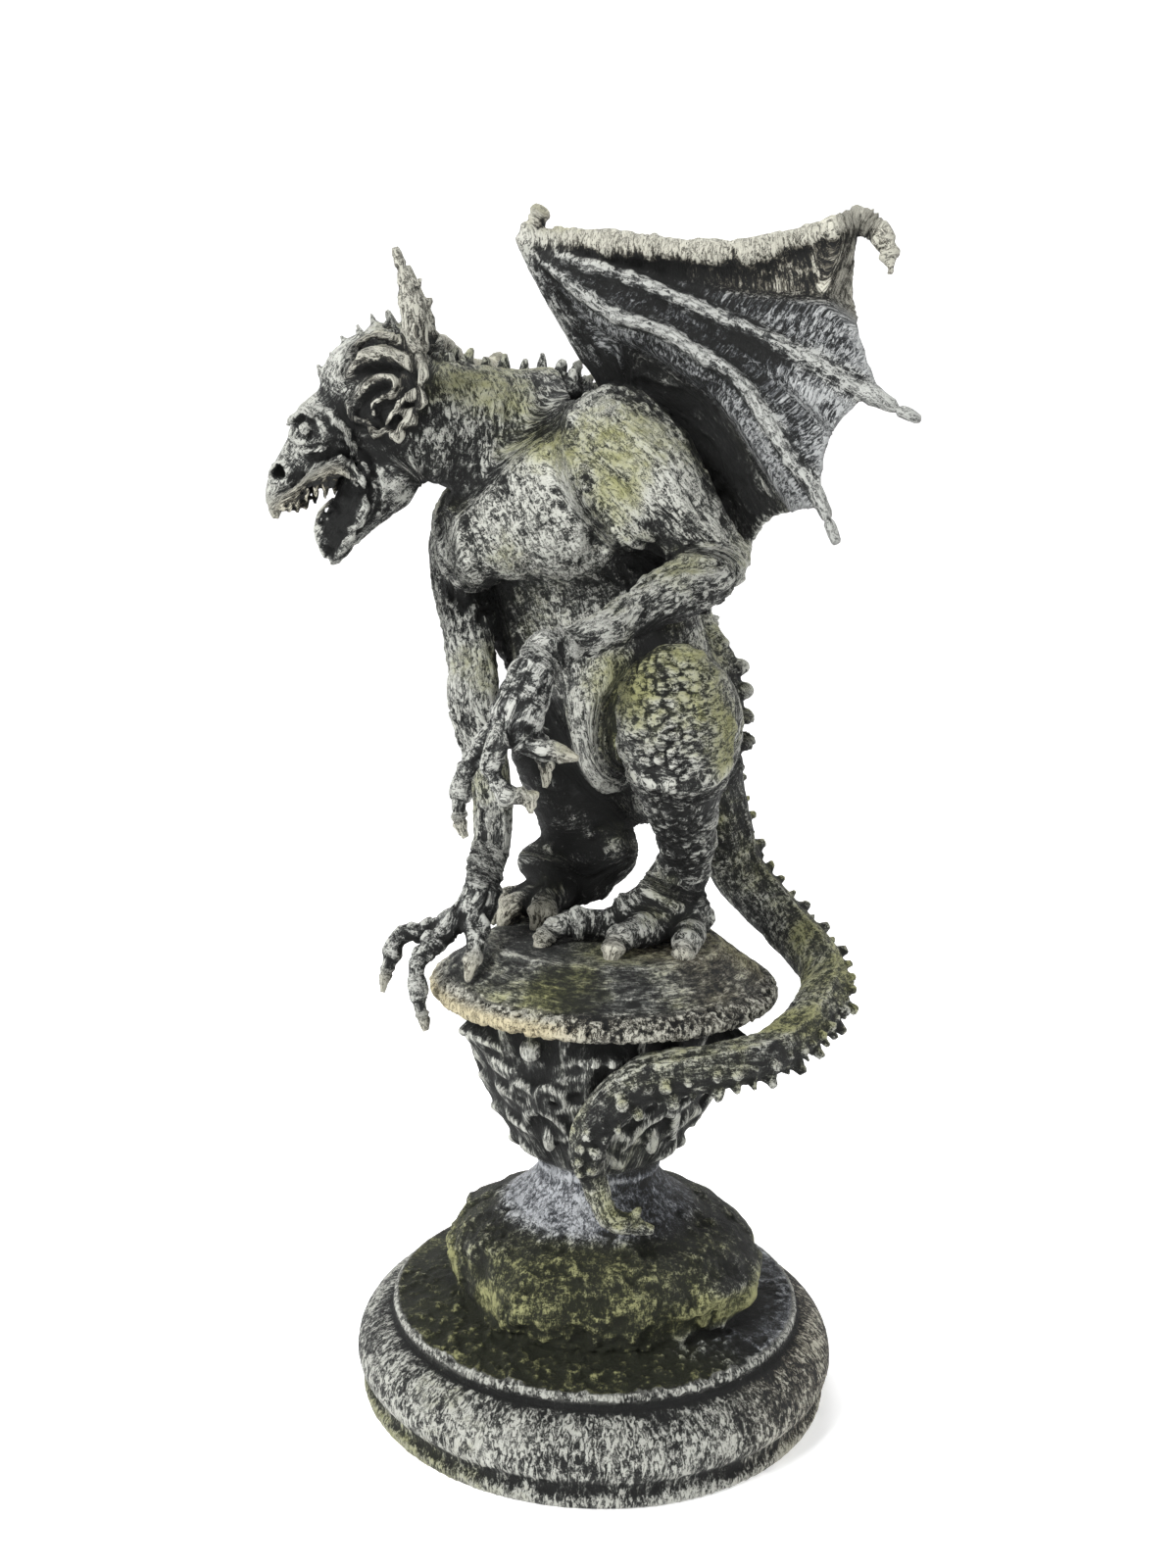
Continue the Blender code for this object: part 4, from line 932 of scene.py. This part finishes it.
def finger(clay, rows, knuckle=1.15, coat=HAND):
    """A finger or toe whose rows of points end at its claw, with a knob at each joint."""
    clay.limb(rows, wide=(0.2, 0.3, 1), sides=10, spacing=1.2, coat=coat)
    for row in rows[1:-2]:
        clay.ball(row[:3], [row[3] * knuckle] * 3)
    base, point = rows[-2], rows[-1]
    clay.mark([(*base[:3], base[3] * 1.2), (*point[:3], point[3] + 0.8)], CLAW, 1.0)
    start = Vector(base[:3])
    for turn in range(6):
        way = unit(Vector(point[:3]) - start)
        side = unit(way.cross(Vector((0.3, 0.9, 0.2))))
        out = side * math.cos(turn * math.tau / 6) + way.cross(side) * math.sin(turn * math.tau / 6)
        clay.ball(start + out * base[3] * 0.75 - way * 0.6, [base[3] * 0.5] * 3)


def hands(clay):
    """Three long clawed fingers and a thumb on the hanging hand, three on the other, and the warts."""
    digits = (
        (
            (-23, -44, 175, 2.7), (-27.5, -44, 169, 2.3), (-31, -43, 164, 2.3),
            (-32.7, -42, 158, 2), (-32.7, -41, 151, 1.5), (-31.4, -41, 148.5, 0.8),
        ),
        (
            (-22, -46, 175, 2.8), (-24.5, -48, 171, 2.5), (-25.5, -49, 165, 2.4),
            (-22, -50, 159.5, 2.2), (-17.5, -50, 159, 1.8), (-17, -50, 155.5, 0.8),
        ),
        (
            (-20.5, -45, 176, 2.8), (-19.5, -46, 170.5, 2.6), (-14.5, -48, 169, 2.4),
            (-10.5, -49, 168, 1.8), (-7, -49, 167.5, 0.8),
        ),
        (
            (-18, -41, 175, 2.4), (-16.5, -38, 169, 2.1), (-14.5, -36, 163.5, 1.7),
            (-14.5, -36, 159, 0.8),
        ),
        (
            (-36, -10, 123.5, 3), (-42.5, -9.5, 119.4, 2.7), (-48.8, -9, 118.2, 2.4),
            (-51.6, -9, 113.5, 2), (-53.3, -9, 107, 1.4), (-53.6, -9, 103.5, 0.8),
        ),
        (
            (-36, -12, 122.5, 3.4), (-40.8, -15, 118, 2.7), (-44.2, -17.5, 113.5, 2.3),
            (-43.8, -19, 106, 2), (-42.6, -19, 99.5, 1.4), (-42.2, -19, 97.5, 0.8),
        ),
        (
            (-32, -10, 128, 3.4), (-31, -14.5, 122, 3), (-30.5, -18, 118.5, 2.6),
            (-31.5, -21, 115, 2), (-32, -22.5, 110.5, 0.8),
        ),
    )
    for rows in digits:
        finger(clay, rows)
    elbow = ((31, 213), (31, 209), (28.5, 204.5), (25.5, 200.5), (21.5, 198), (16.5, 196.5), (12, 195.6))
    for x, z in elbow:
        clay.spike((x - 3.5, 0, z), (x + 1.0, -1, z), 1.9, 0.6)
    warts = (
        (29.4, -2.5, 211.5, 1.9), (27.8, -4.6, 206.8, 1.6), (24.6, -6.2, 203.4, 1.9),
        (20.4, -9.6, 200.9, 1.5), (16.4, -12.6, 198.6, 1.7), (11.6, -16.6, 196.8, 1.2),
        (29.6, 1.5, 205.2, 1.8), (-9, -40.2, 189.4, 1.9), (-12.6, -41, 191.6, 1.5),
    )
    for x, y, z, size in warts:
        clay.ball((x, y, z), (size, size, size * 0.9))


def feet(clay):
    """The three clawed toes of each foot."""
    toes = (
        (
            (12, -5, 123.5, 6), (1.5, -6, 121.2, 4.2), (-6.5, -7, 121.6, 3.7),
            (-12.3, -9, 120.8, 3.1), (-15.2, -11.2, 118, 2.2), (-16.8, -12.5, 113.5, 0.8),
        ),
        (
            (15, -6, 123.5, 6), (8.5, -12, 121.4, 4.1), (3.5, -16.5, 120.6, 3.5),
            (1.5, -20.5, 118.5, 2.5), (0.8, -22, 113.5, 0.8),
        ),
        (
            (20.5, -4, 123.5, 6), (19.5, -10, 120.4, 4.1), (19, -14, 119.4, 3.4),
            (18, -18, 117, 2.4), (17.5, -19.5, 113.5, 0.8),
        ),
    )
    for rows in toes:
        finger(clay, rows, 1.08, SHIN)
    for x, y in ((-26, 19), (-24, 11), (-16, 6)):
        middle = ((x - 14) / 2, (y + 20) / 2, 121.5, 4)
        toe = [(-12, 22, 122.5, 5), middle, (x, y, 120, 3.4), (x * 1.12, y - 2.5, 114.5, 0.8)]
        finger(clay, toe, 1.08, PAINTED_SHADE_LEG)


def wing_parts():
    """The wing's arm and finger bones, as rows of points and radii from the wrist outward."""
    wrist = (-22, -8, 279)
    thumb = [(*wrist, 2.6), (-20, -8, 283.5, 2.5), (-18.8, -9, 285.6, 2.2)]
    first = [
        (*wrist, 2.6), (-12, -10, 279, 2.8), (0.5, -13, 277.6, 3), (13, -17, 276, 2.7),
        (25.5, -20, 275.2, 3.1), (35, -22, 277.3, 2.7), (44, -25, 279.6, 2.6),
        (49.5, -26, 281.6, 3),
    ]
    hook = [
        (49.5, -26, 281.6, 3), (53.5, -27, 278.7, 2.5), (55.6, -28, 274.5, 2),
        (56.2, -28, 269.8, 0.8),
    ]
    second = [
        (*wrist, 2.2), (-10.5, -11, 274, 2.2), (1, -14, 270.5, 2.1), (16, -17, 264.5, 2),
        (33.5, -22, 256, 2), (45.5, -25, 250, 1.9), (54, -27, 245, 2.3), (64, -29, 240, 1.1),
    ]
    third = [
        (*wrist, 2.2), (-11.5, -10, 269, 2.1), (-1.5, -13, 262.5, 2.1), (8.5, -15, 259.5, 2),
        (19, -18, 253, 2.1), (26, -20, 248, 2), (37.5, -23, 231.5, 2), (43.5, -24, 224, 2),
        (48.2, -25, 213.4, 1.1),
    ]
    arm = [(*wrist, 2.8), (-17.5, -4, 271.5, 3), (-8.5, 5, 259.5, 3.8), (0, 13, 249, 5)]
    return thumb, first, hook, second, third, arm


def wing(clay, turn, root, hem):
    """A bat's wing: arm and finger bones, and a membrane hollowed and scalloped between them."""
    parts = [[(*turn(row[:3]), row[3]) for row in rows] for rows in wing_parts()]
    thumb, first, hook, second, third, arm = parts
    for rows, coat in ((thumb, TOP_BONE), (first, TOP_BONE), (hook, TOP_BONE)):
        clay.limb(rows, wide=(0, 0, 1), sides=10, spacing=2, coat=coat)
        for row in rows[2:-1:2]:
            clay.ball(row[:3], [row[3] * 1.15] * 3)
    for rows in (second, third):
        clay.limb([(*row[:3], row[3] * 0.82) for row in rows], sides=10, spacing=2, coat=FINGER_BONE)
        for row in rows[2:-1:2]:
            clay.ball(row[:3], [row[3]] * 3)
    clay.limb(arm + [root], wide=(0, 0, 1), sides=12, coat=FINGER_BONE)
    behind = Vector(turn((-21, 92, 279))) - Vector(turn((-22, -8, 279)))
    behind.z = 0
    edge = [(*arm[0][:3], 1), (*arm[2][:3], 1), *hem]
    panels = (
        (first, second, 1.0, 0.91, 0.04, 3.5), (second, third, 0.88, 0.89, 0.045, 3),
        (third, edge, 0.92, 1.0, 0.048, 2.5),
    )
    for upper, lower, upper_end, lower_end, scallop, hollow in panels:
        above = smooth_path(upper, 0.5)[:, :3]
        below = smooth_path(lower, 0.5)[:, :3]

        def place(u, v):
            swell = math.sin(math.pi * u)
            share = 0.02 + 0.98 * v * (1 - scallop * swell)
            top = above[int(share * upper_end * (len(above) - 1))]
            bottom = below[int(share * lower_end * (len(below) - 1))]
            push = behind.normalized() * hollow * swell * math.sin(math.pi * min(1.0, v * 0.8))
            return Vector(top * (1 - u) + bottom * u) + push

        clay.sheet(place, 20, 60, MEMBRANE)


def left_wing(point):
    return tuple(point)


def right_wing(point):
    """The left wing's point, mirrored in the upright plane of the hunched back, and held lower."""
    middle = Vector((-37, 18.5))
    across = Vector((0.517, -0.856))
    flat = Vector(point[:2]) - middle
    flat -= 2 * flat.dot(across) * across
    spread = min(1.0, max(0.0, (point[2] - 205) / 75))
    return (flat.x + middle.x, flat.y + middle.y, point[2] - FAR_WING_DROP * spread)


def ridge(clay):
    """Fins and knobs along the spine, from the nape over the back to the root of the tail."""
    spine = [
        (-47, 5, 255), (-41, 8, 254.8), (-33, 13, 252.5), (-20, 26, 254.5), (-12, 31, 254),
        (-6, 34.5, 250), (5, 38, 232), (16, 38, 212), (24.2, 35.5, 194), (31, 35, 177),
        (30, 36, 158),
    ]
    path = smooth_path(spine, 5.5)
    outward = Vector((0.75, 0.6, 0)).normalized()
    for number, (point, ahead) in enumerate(zip(path, path[1:])):
        way = unit(ahead - point)
        out = unit(Vector((0, 0, 1)).lerp(outward, min(1.0, number / len(path) * 1.8)))
        out = (out - way * out.dot(way)).normalized()
        side = way.cross(out)
        tall = SPINE_FIN * (1 if number % 2 else 0.7)
        foot = Vector(point) - out * 4
        clay.spike(foot, Vector(point) + out * tall + way * 1.2, 2.9)
        for lean in (-1, 1):
            knob = Vector(point) + side * lean * 3.4 - out * 1.6 + way * 2.4
            clay.spike(knob - out * 3, knob + out * 2.2, 2.1, 0.5)
    clay.spike((20, 27, 195), (30, 25, 187.5), 4)
    lumps = ((33, 182, 2.8), (34.2, 176, 3.2), (34.8, 169.5, 2.8), (34.6, 163, 3.3), (33, 156, 2.8))
    for x, z, size in lumps:
        clay.ball((x, 26, z), (size, size, size * 0.8))


def tail_route():
    """The tail's middle line: down behind the leg, out past the slab, and forward round the urn."""
    rows = [(24, 28, 157.5, 11), (29.5, 33, 142.5, 8.5), (36, 33, 126.5, 7.4)]
    raised = DRAWN_CROWN - SLAB_TOP
    beside = (
        (29, 0.86, 11, 1.08), (8, 0.3, 13, 1), (-9, -0.05, 9.8, 0.95), (-38, -0.28, 6.4, 0.84),
        (-58, -0.38, 3, 0.84),
    )
    for angle, lift, gap, stout in beside:
        radius = SLAB_RADIUS + gap
        height = BOWL_TOP + lift * (SLAB_TOP - BOWL_TOP)
        turn = math.radians(angle)
        thickness = TAIL_RADIUS * stout
        rows.append((radius * math.cos(turn), radius * math.sin(turn), height + raised, thickness))
    under = ((-75, 0.79, 5.4), (-88, 0.6, 4.9), (-95, 0.41, 4.2), (-95, 0.18, 3.5))
    for angle, share, thickness in under:
        height = NECK_TOP + share * BOWL_HEIGHT
        radius = float(bowl_radius(height)) + LEAF_DEPTH + thickness * 0.8
        turn = math.radians(angle)
        rows.append((radius * math.cos(turn), radius * math.sin(turn), height + raised, thickness))
    tip = ((-86, 0.95, 3.2, 2.8), (-77, 0.8, 3.6, 2.6), (-67, 0.7, 6, 1.3))
    for angle, share, gap, thickness in tip:
        radius = FLARE_RADIUS + gap
        height = ROCK_TOP + share * FLARE_HEIGHT
        turn = math.radians(angle)
        rows.append((radius * math.cos(turn), radius * math.sin(turn), height + raised, thickness))
    return rows


def tail(clay):
    """A long tail with two rows of thorns on its outer edge, a rail on each side and a forked tip."""
    rows = tail_route()
    clay.limb(rows, wide=(0, 0, 1), sides=16, spacing=2, coat=TAIL)
    path = smooth_path(rows, 4.2)
    rails = {-1: [], 1: []}
    for number, (row, ahead) in enumerate(zip(path[2:-6], path[3:-5])):
        way = unit(ahead[:3] - row[:3])
        flat = Vector((row[0], row[1], 0)).normalized()
        down = min(1.0, number / 22)
        out = (flat + Vector((0, 0, 0.7 - 1.1 * down))).normalized()
        out = (out - way * out.dot(way)).normalized()
        for lean in (-0.45, 0.35):
            thorn = (out + way.cross(out) * lean).normalized()
            foot = Vector(row[:3]) + thorn * row[3] * 0.6
            uneven = 1 + 0.35 * math.sin(number * 2.7 + lean * 9)
            long = THORN * (1.25 - 0.5 * down) * uneven * (1 if lean < 0 else 0.6)
            clay.spike(foot, Vector(row[:3]) + thorn * (row[3] + long), 2.0 * uneven, 0.45)
        for sign in rails:
            rail = (out * 0.25 + way.cross(out) * sign).normalized()
            rails[sign].append((*(Vector(row[:3]) + rail * (row[3] - 0.2)), 0.9))
    for rail in rails.values():
        clay.limb(rail, sides=8, spacing=2)
    end = Vector(rows[-2][:3])
    clay.spike(end, end + Vector((2.5, -1, 4.5)), 1.8)


def ease_creases(body, rounds):
    """Let the soft parts run into each other, as flesh does, by raising the beds of the creases."""
    ends = edges_of(body)
    behind_jaws = ease(skin_of(body)[0][:, 0], -54, -46)
    for _ in range(rounds):
        points, normals = skin_of(body)
        for _ in range(12):
            plain = relaxed(points, ends, 1)
            rise = np.sum((plain - points) * normals, axis=1)
            points += normals * (behind_jaws * np.maximum(rise, 0))[:, None] * 1.6
        reshape(body, points)


def lay_of_skin(points, marks):
    """For each point, where it lies along and across its limb, the limb's coat, and how far it is."""
    marks = np.array(marks)
    lay = np.empty((len(points), 3))
    coats = np.empty((len(points), marks.shape[1] - 16))
    clear = np.empty(len(points))
    cells = np.floor(points / 10).astype(int)
    order = np.lexsort(cells.T)
    changes = np.any(np.diff(cells[order], axis=0), axis=1)
    for rows in np.split(order, np.flatnonzero(changes) + 1):
        some = points[rows]
        centre = some.mean(axis=0)
        spread = np.linalg.norm(some - centre, axis=1).max()
        reach = np.linalg.norm(marks[:, :3] - centre, axis=1) - marks[:, 3]
        close = marks[reach < reach.min() + 2 * spread + 6]
        gap = np.linalg.norm(some[:, None] - close[None, :, :3], axis=2) - close[:, 3]
        nearest = gap.min(axis=1)
        share = np.exp(-(gap - nearest[:, None]) / 0.9)
        share /= share.sum(axis=1)[:, None]
        mixed = share @ close[:, 4:]
        turned = mixed[:, :9].reshape(-1, 3, 3)
        lay[rows] = np.einsum("nij,nj->ni", turned, some) + mixed[:, 9:12]
        coats[rows] = mixed[:, 12:]
        clear[rows] = nearest
    return lay, coats, clear


def around(points, centre, radius):
    """1 at a place, fading out at a radius."""
    far = np.linalg.norm(points - np.array(centre), axis=1)
    return 1 - ease(far, radius * 0.35, radius)


def plates(across, along, seed):
    """Uneven oval scales: 1 in the middle of a scale and 0 at its seams."""
    spots = np.stack([np.floor(across), np.floor(along)], axis=1)
    nearest = np.full(len(across), 9.0)
    second = np.full(len(across), 9.0)
    for u in (-1, 0, 1):
        for v in (-1, 0, 1):
            cell = spots + (u, v)
            draw = np.column_stack([cell * (0.71, 0.83) + 0.5, np.full(len(cell), 0.5)])
            middle_u = cell[:, 0] + 0.5 + np.clip(1.1 * grit(draw * 7.3, seed), -0.46, 0.46)
            middle_v = cell[:, 1] + 0.5 + np.clip(1.1 * grit(draw * 5.9, seed + 1), -0.46, 0.46)
            far = np.hypot(across - middle_u, along - middle_v)
            second = np.minimum(second, np.maximum(nearest, far))
            nearest = np.minimum(nearest, far)
    return ease(second - nearest, 0.0, 0.38)


soft = Clay()
torso(soft)
neck_and_head(soft)
arms(soft)
legs(soft)
marks = soft.marks
flesh = soft.fused("flesh", FLESH_VOXEL, 6)
ease_creases(flesh, 5)
whole = Clay()
whole.marks = marks
whole.add(flesh)
face(whole)
for side in (-1, 1):
    ear(whole, side)
hands(whole)
feet(whole)
left_hem = [(3, 16, 243, 1), (18, 20, 229, 1), (33.5, 21, 210.5, 1)]
right_hem = [(-21, 39, 238, 1), (-10, 38, 222, 1), (3, 40, 205, 1)]
wing(whole, left_wing, (-6, 24, 240, 8), left_hem)
wing(whole, right_wing, (-18, 34, 236, 8), right_hem)
ridge(whole)
tail(whole)
marks = whole.marks
gargoyle = whole.fused("gargoyle", DETAIL_VOXEL, 1)

points, normals = skin_of(gargoyle)
lay, coats, clear = lay_of_skin(points, marks)
ring, rough_skin = coats[:, 0], coats[:, 1]
web = coats[:, 5] * ease(clear, 0.8, 2.2)
swirl = lay + 2.4 * np.stack([grit(lay / 8, 31), grit(lay / 8, 32), grit(lay / 8, 33)], axis=1)
lengthwise = grit(swirl * (0.4, 0.4, 0.07), 34) + 0.5 * grit(swirl * (0.85, 0.85, 0.2), 38)
crosswise = grit(swirl * (0.08, 0.08, 0.4), 35) + 0.5 * grit(swirl * (0.22, 0.22, 0.85), 39)
fold = lengthwise + (crosswise - lengthwise) * ease(ring, 0.2, 0.8)
wrinkle = np.exp(-((fold / 0.16) ** 2)) * ease(grit(lay / 6, 43), -0.3, 0.3)
bumps = rough_skin * (0.55 * fold + 0.25 * crumble(lay / 1.7, 36) - 0.4 * wrinkle)
knee = around(points, (10, -34, 182), 12)
for place in SHIN_FRONT:
    knee = np.maximum(knee, around(points, place, 10))
turn_round = np.arctan2(lay[:, 1], lay[:, 0])
scales = plates(turn_round * 3.4, swirl[:, 2] / 2.4, 37)
bumps += knee * 0.9 * (scales - 0.7)
for side in (-1, 1):
    eye = np.linalg.norm(points - np.array(EYE) * (1, side, 1), axis=1)
    bumps -= 0.9 * ease(eye, 1.1, 2.0) * (1 - ease(eye, 2.2, 3.6))
    bumps -= 2.4 * around(points, np.array(NOSTRIL) * (1, side, 1), 2.2)
    for x, y, z, size in MOUTH_HOLLOWS:
        bumps -= 1.5 * around(points, (x, side * y, z), size)
    for x, y, z in MOUTH_CORNER:
        bumps -= 1.2 * around(points, (x, side * y, z), 2.2)
    mouth = np.linalg.norm(points - np.array((-66, side * 7, 223)), axis=1) + 0.8 * grit(points / 4, 42)
    folds = ease(mouth, 3, 5) * (1 - ease(mouth, 11, 16)) * ease(points[:, 0], -68, -62)
    bumps += 0.42 * np.cos(mouth * 2.6) * folds
for x, z in ARMPIT_FOLD:
    bumps -= (0.9 + 0.5 * (z == 212.5)) * around(points, (x, -12, z), 4.6) * ease(-normals[:, 1], 0.1, 0.5)
reshape(gargoyle, points + normals * bumps[:, None])
thin_out(gargoyle, TRIANGLES)

points, normals = skin_of(gargoyle)
lay, coats, clear = lay_of_skin(points, marks)
ring, _, pale, moss, cream, blue = coats.T
web = ease(blue, 0.2, 0.35) * ease(clear, 0.5, 1.8)
near, wide = relief_of(gargoyle)
free = openness(gargoyle)
patch = grit(points / 13, 41)
shoulder = around(points, (2, -8, 232), 26)
knee = around(points, (14, -34, 182), 22)
# Painted shade inside the open mouth.
throat_shade = np.zeros(len(points))
for x, y, z in THROAT:
    for side in (-1, 1):
        throat_shade = np.maximum(throat_shade, around(points, (x, side * y, z), 4.6))
# Painted shade in the lap under the hanging arm.
lap_shade = around(points * (1, 1, 0.6), (-4, -12, 105), 13)
# The far leg keeps its painted shade only on faces towards the front; its outer back faces get the usual
# paleness.
outer = ease(normals[:, 1], 0.0, 0.7) * ease(points[:, 1], 24, 34)
outer *= 1 - ease(points[:, 2], 160, 180)
pale = pale + outer * np.clip(0.36 - pale, 0, 1)
pale = pale - 0.4 * throat_shade - 0.3 * lap_shade + 0.1 * patch + 0.14 * normals[:, 2] + 0.14 * web + 0.1 * shoulder
# Painted shade from openness: darker in hollows, lighter where open.
pale += 0.85 * (free - 0.82)
moss = moss + 0.4 * patch + 0.2 * normals[:, 2] + 0.1 * shoulder + 0.16 * knee
moss *= 1 - ease(blue, 0.2, 0.35)
coat_with(
    gargoyle,
    grain=lay,
    ring=np.clip(ring + web, 0, 1),
    calm=ease(cream, 0.4, 0.7) * 0.7,
    near=near,
    wide=wide,
    pale=pale,
    moss=moss,
    cream=cream,
    blue=np.clip(blue * 1.2, 0, 1) * (0.5 + 0.5 * web),
)
gargoyle.data.transform(Matrix.Translation((0, 0, SLAB_TOP - DRAWN_CROWN)))
gargoyle.data.transform(Matrix.Scale(MM, 4))
gargoyle.data.shade_smooth()
gargoyle.data.materials.append(weathered("painted gargoyle"))
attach(gargoyle, "root")
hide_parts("gargoyle")

# The floor is a pale round sweep of paper that rises well away from the statue.
FLOOR_RADIUS = 1.6
SWEEP_RADIUS = 1.0
PAPER_TOP = 2.2
bm = bmesh.new()
profile = [(0.0, 0.0), (FLOOR_RADIUS, 0.0)]
for turn in range(5, 91, 5):
    out = FLOOR_RADIUS + SWEEP_RADIUS * math.sin(math.radians(turn))
    profile.append((out, SWEEP_RADIUS * (1 - math.cos(math.radians(turn)))))
profile.append((FLOOR_RADIUS + SWEEP_RADIUS, PAPER_TOP))
verts = [bm.verts.new((radius, 0, z)) for radius, z in profile]
edges = [bm.edges.new(pair) for pair in zip(verts, verts[1:])]
bmesh.ops.spin(bm, geom=verts + edges, axis=(0, 0, 1), steps=96, angle=math.tau, use_merge=True)
bmesh.ops.remove_doubles(bm, verts=bm.verts, dist=0.0001)
bmesh.ops.recalc_face_normals(bm, faces=bm.faces)
bmesh.ops.reverse_faces(bm, faces=bm.faces)
floor = as_object("floor", bm)
floor.data.shade_smooth()
paper = bpy.data.materials.new("paper")
paper.use_nodes = True
sockets = paper.node_tree.nodes["Principled BSDF"].inputs
sockets["Base Color"].default_value = (0.86, 0.86, 0.86, 1)
sockets["Roughness"].default_value = 0.9
sockets["Emission Color"].default_value = (1, 1, 1, 1)
sockets["Emission Strength"].default_value = 0.36
floor.data.materials.append(paper)

# Soft studio light: a panel high on the left, a weaker one on the right, one overhead and a pale room.
LIT_POINT = Vector((0, 0, 0.17))
room = bpy.data.worlds.new("room")
room.use_nodes = True
room.node_tree.nodes["Background"].inputs["Color"].default_value = (1, 1, 1, 1)
room.node_tree.nodes["Background"].inputs["Strength"].default_value = 0.2
bpy.context.scene.world = room
for name, place, size, power in (
    ("key", (-0.8, -0.7, 1.0), 0.4, 24),
    ("fill", (1.1, -0.7, 0.5), 0.8, 3.5),
    ("top", (-0.1, 0.5, 1.3), 0.6, 12),
):
    panel = bpy.data.lights.new(name, "AREA")
    panel.size = size
    panel.energy = power
    lamp = bpy.data.objects.new(name, panel)
    lamp.location = place
    lamp.rotation_euler = (LIT_POINT - Vector(place)).to_track_quat("-Z", "Y").to_euler()
    bpy.context.collection.objects.link(lamp)

# The camera stands above the statue's middle, looks slightly down, and is rolled by a degree and a half.
CAMERA_PLACE = (-0.00518, -0.3531, 0.2071)
CAMERA_TILT = 0.1531
CAMERA_ROLL = 0.0262
lens = bpy.data.cameras.new("camera")
lens.sensor_width = 36
lens.lens = 33.75
lens.clip_start = 0.01
camera = bpy.data.objects.new("camera", lens)
turned = Matrix.Rotation(math.pi / 2 - CAMERA_TILT, 4, "X") @ Matrix.Rotation(CAMERA_ROLL, 4, "Z")
turned.translation = CAMERA_PLACE
camera.matrix_world = turned
bpy.context.collection.objects.link(camera)
bpy.context.scene.camera = camera
bpy.context.scene.view_settings.view_transform = "Standard"
